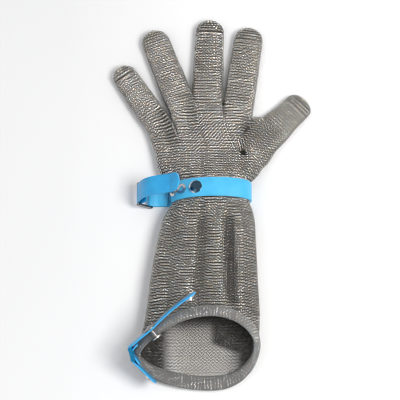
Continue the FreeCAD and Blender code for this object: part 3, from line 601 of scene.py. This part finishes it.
def math_node(tree, operation, first, second):
    """A sum or product of two values, each from a node or a number."""
    node = tree.nodes.new("ShaderNodeMath")
    node.operation = operation
    for socket, value in zip(node.inputs, (first, second)):
        if isinstance(value, (int, float)):
            socket.default_value = value
        else:
            tree.links.new(value, socket)
    return node.outputs[0]


def attribute(tree, name, output="Fac"):
    """A value that the mesh's points carry."""
    node = tree.nodes.new("ShaderNodeAttribute")
    node.attribute_name = name
    return node.outputs[output]


def mix_colours(tree, kind, first, second):
    """Two colours added or multiplied."""
    node = tree.nodes.new("ShaderNodeMix")
    node.data_type = "RGBA"
    node.blend_type = kind
    node.inputs["Factor"].default_value = 1.0
    tree.links.new(first, node.inputs[6])
    tree.links.new(second, node.inputs[7])
    return node.outputs[2]


def paint(tree, shader, colour, level, low, high):
    """A shader's colour, and a roughness that follows a level."""
    tree.links.new(colour, shader.inputs["Base Color"])
    tree.links.new(span(tree, level, low, high), shader.inputs["Roughness"])


def mail_material(name, dark, mid, light):
    """Welded steel wire: each ring has its own tone, brighter on its crests, partly wear and partly
    painted light, and darker where rings pass through each other, a painted shade, with finer stains
    along the wire. The lit value multiplies in painted light and shade."""
    mat, tree, shader = new_material(name, 1.0, 0.3)
    stain = noise(tree, 420, 4)
    crest = attribute(tree, "crest")
    own = math_node(tree, "MULTIPLY", attribute(tree, "tone"), 0.28)
    crest_wear_and_light = math_node(tree, "MULTIPLY", crest, 0.72)
    fine = math_node(tree, "MULTIPLY", stain, 0.2)
    level = math_node(tree, "ADD", math_node(tree, "ADD", own, crest_wear_and_light), fine)
    colour = ramp(tree, level, [(0.14, dark), (0.46, mid), (0.88, light)])
    patches = noise(tree, 240, 2)
    warm = ramp(tree, patches, [(0.35, (1, 0.93, 0.84)), (0.65, (0.93, 0.97, 1))])
    tinted = mix_colours(tree, "MULTIPLY", colour, warm)
    shaded = mix_colours(tree, "MULTIPLY", tinted, attribute(tree, "lit", "Color"))
    paint(tree, shader, shaded, stain, 0.16, 0.30)
    return mat


def shade_material(name, dark, light):
    """Painted shade: the dull dark that shows between the rings, with painted light added where the
    lit value is high.
    """
    mat, tree, shader = new_material(name, 0.0, 0.85)
    stain = noise(tree, 300, 3)
    own = ramp(tree, stain, [(0.3, dark), (0.7, light)])
    painted_through_light = ramp(tree, attribute(tree, "lit"), [(0, (0, 0, 0)), (1, (0.62, 0.61, 0.59))])
    paint(tree, shader, mix_colours(tree, "ADD", own, painted_through_light), stain, 0.75, 0.95)
    shader.inputs["Specular IOR Level"].default_value = 0.1
    return mat


def steel_material(name, dark, light, low, high, scratch):
    """Polished or brushed fittings, with fine scratches."""
    mat, tree, shader = new_material(name, 1.0, 0.2)
    brushed = noise(tree, scratch, 5, (1, 1, 9))
    colour = ramp(tree, brushed, [(0.3, dark), (0.7, light)])
    paint(tree, shader, colour, brushed, low, high)
    bump(tree, shader, brushed, 0.12, 0.00008)
    return mat


def strap_material(name, deep, bright):
    """Coated webbing: smooth plastic over a faint weave, slightly mottled."""
    mat, tree, shader = new_material(name, 0.0, 0.38)
    mottle = noise(tree, 60, 4)
    colour = ramp(tree, mottle, [(0.3, deep), (0.7, bright)])
    fine = noise(tree, 1900, 3)
    paint(tree, shader, colour, fine, 0.30, 0.44)
    bump(tree, shader, fine, 0.18, 0.00012)
    shader.inputs["Subsurface Weight"].default_value = 0.06
    shader.inputs["Subsurface Radius"].default_value = (0.0004, 0.001, 0.002)
    shader.inputs["Coat Weight"].default_value = 0.18
    shader.inputs["Coat Roughness"].default_value = 0.3
    return mat


def cap_material(name):
    """Polished cap with a painted reflection: its colour is dark on the flat crown, for the dark room
    above, and light on its edge.
    """
    mat, tree, shader = new_material(name, 1.0, 0.12)
    shape = tree.nodes.new("ShaderNodeNewGeometry")
    split = tree.nodes.new("ShaderNodeSeparateXYZ")
    tree.links.new(shape.outputs["Normal"], split.inputs["Vector"])
    # Painted reflection: light where the surface turns away from the top, dark on the crown.
    crown_painted_reflection = ramp(tree, split.outputs["Z"], [(0.70, (0.86, 0.88, 0.9)), (0.86, (0.07, 0.13, 0.18))])
    stain = noise(tree, 300, 4)
    grime = ramp(tree, stain, [(0.3, (0.8, 0.82, 0.85)), (0.7, (1, 1, 1))])
    paint(tree, shader, mix_colours(tree, "MULTIPLY", crown_painted_reflection, grime), stain, 0.08, 0.2)
    return mat


RING_STEEL = mail_material("ring_steel", (0.045, 0.041, 0.036), (0.255, 0.242, 0.225), (0.84, 0.83, 0.81))
SHADE = shade_material("mail_shade", (0.02, 0.019, 0.017), (0.05, 0.047, 0.043))
HEM_STEEL = mail_material("hem_steel", (0.26, 0.28, 0.30), (0.68, 0.73, 0.76), (0.97, 0.99, 1.0))
# Painted light: a lighter copy of the blue webbing for the wrist belt, for the light that falls on it.
STRAP_PAINTED_LIT = strap_material("strap_painted_lit", (0.05, 0.42, 0.72), (0.075, 0.50, 0.82))
STRAP_BLUE = strap_material("strap_blue", (0.012, 0.29, 0.60), (0.020, 0.37, 0.72))
SLIDE_STEEL = steel_material("slide_steel", (0.13, 0.13, 0.13), (0.34, 0.33, 0.32), 0.18, 0.34, 260)
SLIDE_COATED = steel_material("slide_coated", (0.02, 0.22, 0.42), (0.03, 0.31, 0.58), 0.25, 0.4, 200)
SNAP_CHROME = steel_material("snap_chrome", (0.62, 0.62, 0.62), (0.82, 0.82, 0.81), 0.07, 0.16, 300)
CAP_CHROME = cap_material("cap_chrome")


# --- Mail pieces ---

row_y = weave_rows(FIRST, LAST)
main, plain_main, ahead = main_grid(row_y)


def tube_heights(x, y):
    """Upper and lower surface of the hand's tube at points of the plan, and how far out they are."""
    v = stations_at(y)
    left, right, low, top, crest, left_z, right_z, n_top, _, n_low, _ = v.T
    wide = np.where(x < crest, crest - left, right - crest)
    level = np.where(x < crest, left_z, right_z)
    t = np.clip(np.abs(x - crest) / wide, 0, 1)
    upper = level + (top - level) * (1 - t**n_top) ** (1 / n_top)
    lower = level + (low - level) * (1 - t**n_low) ** (1 / n_low)
    return upper, lower, t


THUMB_FIRST = -44.0  # its tube starts inside the hand, this far from its root
THUMB_COLUMNS = 42


def thumb_values(s):
    """Oval section of the thumb: it widens at its web and heel, and rises to meet the hand."""
    half, share = finger_half(THUMB, s)
    web = 7.6 * smooth((18 - s) / 10)
    heel = 4.5 * smooth(-s / 22)
    high = FINGER_TOP + 2.2 * smooth((12 - s) / 30) + 3.5 * smooth((-8 - s) / 30) - 1.6 * share
    middle = (high + FINGER_LOW) / 2
    return (-half - web, half + heel, FINGER_LOW, high, 0, middle, middle, 2.2, 2.2, 2.5, 2.5)


def inside_thumb(p):
    """Which points lie well inside the thumb's tube."""
    root, along, across = finger_frame(THUMB)
    flat_s, flat_q, flat_z = ((p - root) @ along).ravel(), ((p - root) @ across).ravel(), p[..., 2].ravel()
    result = np.zeros(flat_s.shape, bool)
    for index in np.nonzero((flat_s > THUMB_FIRST + 4) & (flat_s < 30) & (np.abs(flat_q) < 34))[0]:
        left, right, low, high, _, level, _, n_top, _, n_low, _ = thumb_values(flat_s[index])
        wide = -left if flat_q[index] < 0 else right
        tall = (high - level) if flat_z[index] > level else (level - low)
        n = n_top if flat_z[index] > level else n_low
        value = abs(flat_q[index] / wide) ** n + abs((flat_z[index] - level) / tall) ** n
        result[index] = value < 0.70
    return result.reshape(p.shape[:-1])


thumb_free = ~inside_thumb(main)
in_mouth = ahead > 0.5


def painted_mouth_light(p):
    """Painted light and shade of the cuff's inner side: a dim share, darker to the right and further in,
    and most of the painted light on a patch of the lower wall, left of the middle and wider towards
    the mouth. Also the patch alone."""
    x, seen = p[..., 0], p[..., 1] + 0.364 * p[..., 2]
    nearer = smooth((-172 - seen) / 14)
    patch = smooth((x + 50) / 20) * (1 - smooth((x - 1 - 17 * nearer) / (9 + 14 * nearer)))
    patch = patch * (1 - smooth((seen + 166) / 22))
    dim = 0.42 * (1 - 0.45 * smooth((x - 18) / 22)) * (1 - 0.4 * smooth((seen + 160) / 20))
    return dim + 0.15 * patch, patch


painted_inner_light, painted_glow = painted_mouth_light(main)
lower_wall = smooth((9 - main[..., 2]) / 5) * smooth((-120 - main[..., 1]) / 20)
# Name, start and end station, body, and the CAD node that it stands for.
SECTIONS = [
    ("cuff_rear", -244, -190, "cuff", None),
    ("cuff_back", -190, -148, "cuff", None),
    ("cuff_middle", -148, -108, "cuff", "cuff_mail"),
    ("cuff_upper", -108, -70, "cuff", None),
    ("cuff_front", -70, -42, "cuff", None),
    ("wrist_fold", -42, -10, None, None),
    ("wrist", -10, 17, "hand", "wrist_mail"),
    ("heel", 17, SPLIT, "hand", "palm_mail"),
]
for name, start, end, body, node in SECTIONS:
    rows = (row_y >= start) & (row_y < end)
    places = pick(main, 0, thumb_free & in_mouth, rows, painted_inner_light, lower_wall)
    piece = ring_object(f"mail_{name}", places, RING_STEEL)
    back = shade_sheet(f"shade_{name}", main, thumb_free & in_mouth, rows, lower_wall, painted_glow)
    for part in (piece, back):
        if body:
            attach(part, body)
        else:
            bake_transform(part)
    if node:
        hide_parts(node)


DOME_LEAN = math.radians(28)
DOME_STEP = 1.68
DOME_SHIFT = 0.1
SCATTER = 0.1  # how loosely the rings of the tips and of the hem lie


def tip_section(values, c):
    """The oval where a fingertip has closed to this share of its width."""
    left, right, low, high, _, level, _, n_top, _, n_low, _ = values
    flat = 0.25 + 0.75 * c
    under, over = level + (low - level) * flat, level + (high - level) * flat
    return (left * c, right * c, under, over, 0, level, level, n_top, n_top, n_low, n_low)


def dome_places(finger, s_dome, values_at, count, blunt=2.2):
    """Rings that close a fingertip, row by row, with fewer in each."""
    root, along, across = finger_frame(finger)
    _, right, _, high, _, level = values_at(s_dome)[:6]
    length = finger.reach - s_dome
    t = np.linspace(0, math.pi / 2, 200)
    line_c, line_s = np.cos(t) ** (2 / blunt), np.sin(t) ** (2 / blunt)
    run = running(np.hypot(np.diff(line_c) * right, np.diff(line_s) * length))
    sets = []
    for k in range(1, int(run[-1] / DOME_STEP) + 1):
        c, s = np.interp(k * DOME_STEP, run, line_c), np.interp(k * DOME_STEP, run, line_s)
        n = max(2, round(count / 2 * c))
        share = (np.arange(n) + (0.25 if k % 2 else 0.75)) / n
        top, bottom = loop_points(*tip_section(values_at(s_dome), c))
        x = np.concatenate([top[0], bottom[0][1:]])
        z = np.concatenate([top[1], bottom[1][1:]])
        px, pz = spaced(x, z, share)
        p = root + along * (s_dome + length * s) + across * px[:, None] + UP * pz[:, None]
        aside, above = px / max(right * c, 1), (pz - level) / (high - level)
        side = normal(across * aside[:, None] * 0.5 + UP * above[:, None])
        tip = s**1.6
        out = normal(side * (1 - tip) + along * tip)
        way = normal(along * (1 - tip) - side * tip)
        way = normal(way - out * np.sum(way * out, -1, keepdims=True))
        ones = np.ones(n)
        lean = DOME_LEAN if k % 2 else -DOME_LEAN
        p = p - way * DOME_SHIFT * np.sign(lean)
        sets.append((p, way, out, lean * ones, ones, ones, SCATTER * ones))
    return join(sets)


def finger_shade_lattice(finger, grid, values_at, s_dome, blunt=2.2):
    """A finger's lattice for its painted shade sheet, with its closed end added, row by row, and how
    many rows that adds.
    """
    length = finger.reach - s_dome
    rows = [grid]
    steps = np.linspace(0, math.pi / 2, 9)[1:]
    for t in steps:
        c, s = max(math.cos(t), 0.02) ** (2 / blunt), math.sin(t) ** (2 / blunt)
        values = tip_section(values_at(s_dome), c)
        rows.append(finger_row(finger, s_dome + length * s, values, grid.shape[1])[None])
    return np.concatenate(rows), len(steps)


def finger_pieces(name, finger, places, backs):
    """A finger's rings and painted shade sheet, in two pieces: towards its root and towards its tip."""
    for label, rings, back, node, a, b, at in (
        ("lower", places[0], backs[0], "root", "hand", f"{name}_base", 0),
        ("upper", places[1], backs[1], "tip", f"{name}_base", f"{name}_end", finger.knuckle),
    ):
        shade = shade_sheet(f"shade_{name}_{label}", *back)
        piece = ring_object(f"mail_{name}_{label}", rings, RING_STEEL)
        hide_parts(f"{name}_{node}_mail")
        for part in (piece, shade):
            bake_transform(part)


THUMB_STEP = 1.72
THUMB_BLUNT = 2.8
WEB_WEIGHT = 0.55  # how far the fingers have parted where their inner sides begin
for index, (name, finger) in enumerate(FINGERS.items()):
    values_at = partial(finger_values, finger)
    grid, weight = finger_grid(index, finger, row_y, main)
    s_dome = finger.reach - finger.tip_width / 2
    distance = row_y - finger.y
    columns = np.arange(FINGER_LOOP)
    inner_left = np.isin(columns, LEFT_SIDE) & (index > 0)
    inner_right = np.isin(columns, RIGHT_SIDE) & (index < 3)
    parted = weight[:, None] >= WEB_WEIGHT
    keep = (parted | ~(inner_left | inner_right)) & ~inside_thumb(grid)
    parity = FINGER_COLUMNS * index
    lower_rows = (row_y >= SPLIT) & (distance < finger.knuckle / 2)
    upper_rows = (distance >= finger.knuckle / 2) & (distance <= s_dome)
    lower = pick(grid, parity, keep, lower_rows)
    upper = pick(grid, parity, keep, upper_rows)
    dome = dome_places(finger, s_dome, values_at, FINGER_LOOP)
    tube = distance <= s_dome
    closed, added = finger_shade_lattice(finger, grid[tube], values_at, s_dome)
    solid = np.concatenate([keep[tube], np.ones((added, FINGER_LOOP), bool)])
    at_root = np.concatenate([lower_rows[tube], np.zeros(added, bool)])
    at_tip = np.concatenate([upper_rows[tube], np.ones(added, bool)])
    backs = ((closed, solid, at_root), (closed, solid, at_tip))
    finger_pieces(name, finger, (lower, join([upper, dome])), backs)

thumb_rows = np.arange(THUMB_FIRST, THUMB.reach - THUMB.tip_width * 0.42, THUMB_STEP)
grid = np.array([finger_row(THUMB, s, thumb_values(s), THUMB_COLUMNS) for s in thumb_rows])
upper, lower, t = tube_heights(grid[..., 0].ravel(), grid[..., 1].ravel())
z = grid[..., 2].ravel()
keep = ~((t < 1) & (z < upper - 0.4) & (z > lower + 0.2)).reshape(grid.shape[:2])
cut = THUMB.knuckle / 2
lower = pick(grid, 0, keep, thumb_rows < cut)
upper = pick(grid, 0, keep, thumb_rows >= cut)
dome = dome_places(THUMB, thumb_rows[-1], thumb_values, THUMB_COLUMNS, THUMB_BLUNT)
closed, added = finger_shade_lattice(THUMB, grid, thumb_values, thumb_rows[-1], THUMB_BLUNT)
solid = np.concatenate([keep, np.ones((added, THUMB_COLUMNS), bool)])
at_tip = np.concatenate([thumb_rows >= cut, np.ones(added, bool)])
backs = ((closed, solid, ~at_tip), (closed, solid, at_tip))
finger_pieces("thumb", THUMB, (lower, join([upper, dome])), backs)


# --- Hem ---

HEM_GAUGE = 2.7
HEM_TURN_IN = (7.2, 4.8)  # half the width of the turned-in edge, at the lower and upper lip
HEM_COLUMNS = 16
HEM_LEAN = math.radians(30)
HEM_LOWEST = 1.2
# Painted light that the hem's shade sheet shows.
HEM_PAINTED_GLOW = 0.17
CUFF_MIDDLE = 19  # height


def rim_line():
    """Where the cuff's columns meet the mouth's plane, as a closed line."""
    rim = np.empty((COLUMNS, 3))
    for c in range(COLUMNS):
        k = int(np.argmax(ahead[:, c] > 0))
        a, b = ahead[k - 1, c], ahead[k, c]
        rim[c] = plain_main[k - 1, c] + (plain_main[k, c] - plain_main[k - 1, c]) * (-a / (b - a))
    for _ in range(2):
        rim = (np.roll(rim, 1, 0) + 2 * rim + np.roll(rim, -1, 0)) / 4
    return rim + belt_pull(rim)


def closed_even(line, count):
    """count points evenly along a closed line."""
    ring = np.vstack([line, line[:1]])
    run = running(np.linalg.norm(np.diff(ring, axis=0), axis=1))
    at = np.linspace(0, run[-1], count, endpoint=False)
    return np.stack([np.interp(at, run, ring[:, i]) for i in range(3)], -1), run[-1]


rim = rim_line()
_, length = closed_even(rim, 10)
steps = 2 * round(length / HEM_PITCH)
rim, _ = closed_even(rim, steps)
along = normal(np.roll(rim, -1, 0) - np.roll(rim, 1, 0))
raised = np.clip((rim[:, 2] - MOUTH_LOW[1]) / (MOUTH_HIGH[1] - MOUTH_LOW[1]), 0, 1)
wide = HEM_TURN_IN[0] + (HEM_TURN_IN[1] - HEM_TURN_IN[0]) * raised
centre = rim + FORWARD * (wide - HEM_TURN_IN[1])[:, None]
sides = np.stack([rim[:, 0] - rim[:, 0].mean(), 0 * raised, rim[:, 2] - CUFF_MIDDLE], -1)
wall = np.cross(along, FORWARD)
wall = normal(wall * np.array([1, 0, 1]))
wall *= np.sign(np.sum(wall * sides, -1))[:, None]
turn = np.linspace(0, 2 * math.pi, 200)
hem = np.empty((steps, HEM_COLUMNS, 3))
hem_out = np.empty(hem.shape)
for n in range(steps):
    run = running(np.hypot(np.diff(np.cos(turn)) * HEM_GAUGE, np.diff(np.sin(turn)) * wide[n]))
    at = np.interp((np.arange(HEM_COLUMNS) + 0.5) / HEM_COLUMNS * run[-1], run, turn)
    c, s = np.cos(at)[:, None], np.sin(at)[:, None]
    hem[n] = centre[n] + wall[n] * c * HEM_GAUGE + FORWARD * s * wide[n]
    hem_out[n] = normal(wall[n] * c * wide[n] + FORWARD * s * HEM_GAUGE)
hem[..., 2] = np.maximum(hem[..., 2], HEM_LOWEST)
k, c = np.meshgrid(np.arange(steps), np.arange(HEM_COLUMNS), indexing="ij")
mask = (k + c) % 2 == 0
# Painted shade: the hem's rings are darker towards its left.
shade = 1 - 0.35 * smooth((-20 - hem[..., 0]) / 40)
hem_lean = np.where(c % 2 == 0, HEM_LEAN, -HEM_LEAN)
hem_places = (
    hem[mask],
    np.repeat(along[:, None], HEM_COLUMNS, 1)[mask],
    hem_out[mask],
    hem_lean[mask],
    shade[mask],
    np.ones(mask.sum()),
    np.full(mask.sum(), SCATTER),
)
piece = ring_object("mail_hem", hem_places, HEM_STEEL)
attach(piece, "cuff")
shut = np.concatenate([hem, hem[:1]])
everywhere = np.ones(shut.shape[:2], bool)
back = shade_sheet("shade_hem", shut, everywhere, everywhere[:, 0], painted_glow=HEM_PAINTED_GLOW * everywhere)
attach(back, "cuff")
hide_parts("cuff_hem")


# --- Belts ---

GAUGE = 1.8
BAND_ROUND = 0.55
BAND_STEP = 1.2


def band(name, path, widths, across, material):
    """A flat belt along a path. Its section is a rectangle with rounded edges, and its width may
    change along it."""
    path = np.asarray(path, float)
    across = normal(np.asarray(across, float))
    along = normal(np.gradient(path, axis=0))
    out = normal(np.cross(along, across[None]))
    r = BAND_ROUND
    steps = 4
    rows = []
    for p, o, w in zip(path, out, widths):
        half, thick = max(w / 2, r + 0.02) - r, GAUGE / 2 - r
        pts = []
        for side, face, first in ((1, 1, 0), (-1, 1, 90), (-1, -1, 180), (1, -1, 270)):
            for n in range(steps + 1):
                a = math.radians(first + 90 * n / steps)
                aside, above = side * half + r * math.cos(a), face * thick + r * math.sin(a)
                pts.append(p + across * aside + o * above)
        rows.append(pts)
    rows = np.array(rows)
    n, m = rows.shape[:2]
    faces = [lattice_cell(i, j, m) for i in range(n - 1) for j in range(m)]
    faces.append(tuple(range(m))[::-1])
    faces.append(tuple((n - 1) * m + j for j in range(m)))
    obj = smooth_object(name, rows.reshape(-1, 3), faces, material)
    edges = obj.modifiers.new("edges", "EDGE_SPLIT")
    edges.split_angle = math.radians(50)
    return obj


def even_path(points):
    """Points evenly along an open path, and how far along each one is."""
    points = np.asarray(points, float)
    run = running(np.linalg.norm(np.diff(points, axis=0), axis=1))
    at = np.linspace(0, run[-1], max(3, int(run[-1] / BAND_STEP) + 1))
    return np.stack([np.interp(at, run, points[:, i]) for i in range(3)], -1), at


def round_end(widths, width, left, corner):
    """Narrow a belt's widths to a rounded end. left is how far each one is from that end."""
    near = left < corner
    widths[near] = width - 2 * (corner - np.sqrt(np.maximum(corner**2 - (corner - left[near]) ** 2, 0)))
    return widths


def end_widths(at, width, corner):
    """Full width with a rounded far end."""
    return round_end(np.full(len(at), float(width)), width, at[-1] - at, corner)


# Wrist belt: it follows the wrist's oval, then lies under the wrist and runs out to the slide.
WRIST_EGG = (-37, 48.5, 2.4, 36.5, 10, 9, 18)
WRIST_WIDTH = 22
CUFF_WIDTH = 20
BELT_CORNER = 9
SLACK = 0.6
STATION = -4.0
BAR = (-62.5, 3.06)
BORE = 1.26
BELT_START = 7.0  # beyond the sockets' left edge
left, right, low, top, crest, left_z, right_z = WRIST_EGG
grow = SLACK + GAUGE / 2
socket_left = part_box("wrist_sockets")[0].x / MM


def egg(angle):
    """The belt's middle line round the wrist, at an angle from +X."""
    a = math.radians(angle)
    wide = (right - crest if math.cos(a) > 0 else crest - left) + grow
    level = right_z if math.cos(a) > 0 else left_z
    tall = (top - level if math.sin(a) > 0 else level - low) + grow
    return (crest + wide * math.cos(a), STATION, level + tall * math.sin(a))


def belt_end_angle():
    """Where the belt's upper left end is."""
    angle = 180.0
    while egg(angle)[0] <= socket_left - BELT_START:
        angle -= 0.5
    return angle


path = [egg(a) for a in np.arange(belt_end_angle(), -90.1, -1.5)]
path += [(crest - 5, STATION, GAUGE / 2), (BAR[0], STATION, GAUGE / 2)]
middle = BORE + GAUGE / 2
for a in np.radians(np.linspace(-90, -270, 15)[1:]):
    path.append((BAR[0] + middle * math.cos(a), STATION, BAR[1] + middle * math.sin(a)))
path += [(BAR[0] + 4, STATION, 4.6), (BAR[0] + 8, STATION, 3.2), (BAR[0] + 20, STATION, 2.75)]
path, at = even_path(path)
widths = round_end(end_widths(at, WRIST_WIDTH, 3.0), WRIST_WIDTH, at, BELT_CORNER)
piece = band("belt_wrist", path, widths, (0, 1, 0), STRAP_PAINTED_LIT)
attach(piece, "hand")
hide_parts("wrist_strap")

# Wrist tab: it springs up from the slide's outer bar and lies over to the snap.
TAB_REST = 44
TAB_WRAP = 10
TAB_LENGTH = 64
TAB_BOW = 9.0
TAB_STRAIGHT = 0.78  # from this share of its length, the tab is straight
HINGE = (-74.32, 12.295)
tab_dir = np.array([math.cos(math.radians(TAB_REST)), 0, math.sin(math.radians(TAB_REST))])
tab_up = np.array([-tab_dir[2], 0, tab_dir[0]])
hinge = np.array([HINGE[0], STATION, HINGE[1]])
path = []
for s in np.linspace(TAB_WRAP, 0, 6)[:-1]:
    path.append(hinge + tab_dir * s - tab_up * (middle - 1.3 * smooth(s / TAB_WRAP)))
for a in np.radians(TAB_REST + np.linspace(-90, -270, 13)):
    path.append(hinge + middle * np.array([math.cos(a), 0, math.sin(a)]))
for s in np.linspace(1.5, TAB_LENGTH, 44):
    t = s / TAB_LENGTH
    bow = TAB_BOW * math.sin(math.pi * t / TAB_STRAIGHT) if t < TAB_STRAIGHT else 0.0
    bow *= 1.15 - 0.5 * t
    path.append(hinge + tab_dir * s + tab_up * (middle + bow))
path, at = even_path(path)
piece = band("belt_tab", path, end_widths(at, WRIST_WIDTH, BELT_CORNER), (0, 1, 0), STRAP_BLUE)
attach(piece, "wrist_tab")
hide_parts("wrist_strap_tab")

# Cuff belt: two legs from the fold, in a plane that leans towards the mouth.
FOLD = np.array([-82, -190.2, 35.0])
SECOND = np.array([-79.153, -199.83, 30.51])
LEG_WRAP = 9
SWAY_FROM = 34
TAIL_BEND = 40.5
TAIL_REACH = 4.5
lean = math.radians(25)
bar = np.array([0, -math.sin(lean), math.cos(lean)])


def leg(angle):
    """Unit vectors along a leg of the cuff belt and out of its face."""
    a = math.radians(angle)
    c, s = math.cos(lean), math.sin(lean)
    direction = np.array([math.cos(a), math.sin(a) * c, math.sin(a) * s])
    face = np.array([math.sin(a), -c * math.cos(a), -s * math.cos(a)])
    return direction, face


def leg_path(origin, direction, face, length, sway=0.0):
    """Round the bar, then along the leg, whose outer part may sway."""
    pts = []
    for s in np.linspace(LEG_WRAP, 0, 6)[:-1]:
        pts.append(origin + direction * s - face * (middle - 1.2 * smooth(s / LEG_WRAP)))
    for a in np.radians(np.linspace(-90, -270, 13)):
        pts.append(origin + middle * (direction * math.cos(a) + face * math.sin(a)))
    for s in np.linspace(1.5, length, 50):
        share = max(0.0, (s - SWAY_FROM) / (length - SWAY_FROM))
        pts.append(origin + direction * s + face * (middle + sway * math.sin(math.pi * share)))
    return pts


direction, face = leg(39.7)
face = -face
path, at = even_path(leg_path(FOLD, direction, face, 93, 2.0))
piece = band("belt_cuff_long", path, end_widths(at, CUFF_WIDTH, BELT_CORNER), bar, STRAP_BLUE)
bend = FOLD + direction * TAIL_BEND + face * middle
start, end = (bend - direction * TAIL_REACH) * MM, (bend + direction * TAIL_REACH) * MM
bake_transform(piece)
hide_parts("cuff_strap", "cuff_strap_tail")

direction, face = leg(-44)
path, at = even_path(leg_path(SECOND, direction, face, 37))
piece = band("belt_cuff_short", path, end_widths(at, CUFF_WIDTH, BELT_CORNER), bar, STRAP_BLUE)
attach(piece, "cuff_end")
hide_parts("cuff_strap_end")


# --- Fittings: the CAD solids keep their shape and get finer metals ---

FITTINGS = {
    "wrist_sockets": SNAP_CHROME,
    "wrist_rivet": CAP_CHROME,
    "wrist_rivet_washer": SNAP_CHROME,
    "cuff_rivet": SLIDE_STEEL,
    "cuff_rivet_washer": SNAP_CHROME,
    "cuff_socket": SNAP_CHROME,
    "tab_stud": SNAP_CHROME,
    "tail_stud": SNAP_CHROME,
    "wrist_slide": SLIDE_STEEL,
    "cuff_slide": SLIDE_COATED,
}
for node, metal in FITTINGS.items():
    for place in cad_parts[node].material_slots:
        place.material = metal


# --- Floor, light and camera ---

bpy.ops.mesh.primitive_grid_add(x_subdivisions=2, y_subdivisions=2, size=14, location=(0, 0, -0.0004))
floor = bpy.context.object
floor.name = "floor"
mat, tree, shader = new_material("floor_paper", 0.0, 0.85)
blotches = noise(tree, 3, 2)
paper = ramp(tree, blotches, [(0.3, (0.86, 0.862, 0.868)), (0.7, (0.88, 0.882, 0.886))])
place = tree.nodes.new("ShaderNodeTexCoord")
split = tree.nodes.new("ShaderNodeSeparateXYZ")
tree.links.new(place.outputs["Object"], split.inputs["Vector"])
# Painted shade: the paper's colour darkens towards the left.
sweep = tree.nodes.new("ShaderNodeMapRange")
sweep.inputs["From Min"].default_value = -0.16
sweep.inputs["From Max"].default_value = 0.08
tree.links.new(split.outputs["X"], sweep.inputs["Value"])
painted_falloff = ramp(tree, sweep.outputs["Result"], [(0.0, (0.87, 0.872, 0.876)), (1.0, (1, 1, 1))])
tree.links.new(mix_colours(tree, "MULTIPLY", paper, painted_falloff), shader.inputs["Base Color"])
floor.data.materials.append(mat)
floor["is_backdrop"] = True

world = bpy.data.worlds.new("studio")
world.use_nodes = True
back = world.node_tree.nodes["Background"]
back.inputs["Color"].default_value = (0.98, 0.98, 0.99, 1)
back.inputs["Strength"].default_value = 0.6
bpy.context.scene.world = world


def area(name, at, size, power, colour, only_shine=False):
    """A soft square light aimed at the glove. One that only shines falls on the mail alone."""
    data = bpy.data.lights.new(name, "AREA")
    data.size = size
    data.energy = power
    data.color = colour
    obj = link_object(name, data)
    obj.location = at
    obj.rotation_mode = "QUATERNION"
    obj.rotation_quaternion = (-Vector(at)).to_track_quat("-Z", "Y")
    if only_shine:
        obj.light_linking.receiver_collection = shine


area("key", (1.15, -0.5, 1.85), 0.9, 38, (1, 0.99, 0.97))
area("fill", (-1.5, -0.6, 1.6), 1.6, 8, (0.97, 0.98, 1))
area("glint_right", (1.2, 0.8, 1.7), 0.22, 18, (1, 0.98, 0.95), True)
area("glint_left", (-1.2, 0.8, 1.7), 0.22, 15, (0.95, 0.98, 1), True)

ELEVATION = math.radians(70)
DISTANCE = 3.0
FRAME_WIDTH = 0.448
camera = bpy.data.cameras.new("camera")
camera.sensor_width = 36
camera.lens = camera.sensor_width * DISTANCE / FRAME_WIDTH
view = link_object("camera", camera)
target = Vector((-0.0067, -0.00635, 0))
away = Vector((0, -math.cos(ELEVATION), math.sin(ELEVATION)))
view.location = target + away * DISTANCE
view.rotation_mode = "QUATERNION"
view.rotation_quaternion = (-away).to_track_quat("-Z", "Y")
camera.clip_end = 60
bpy.context.scene.camera = view
bpy.context.scene.view_settings.view_transform = "Standard"
bpy.context.scene.cycles.filter_width = 0.9

low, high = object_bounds()
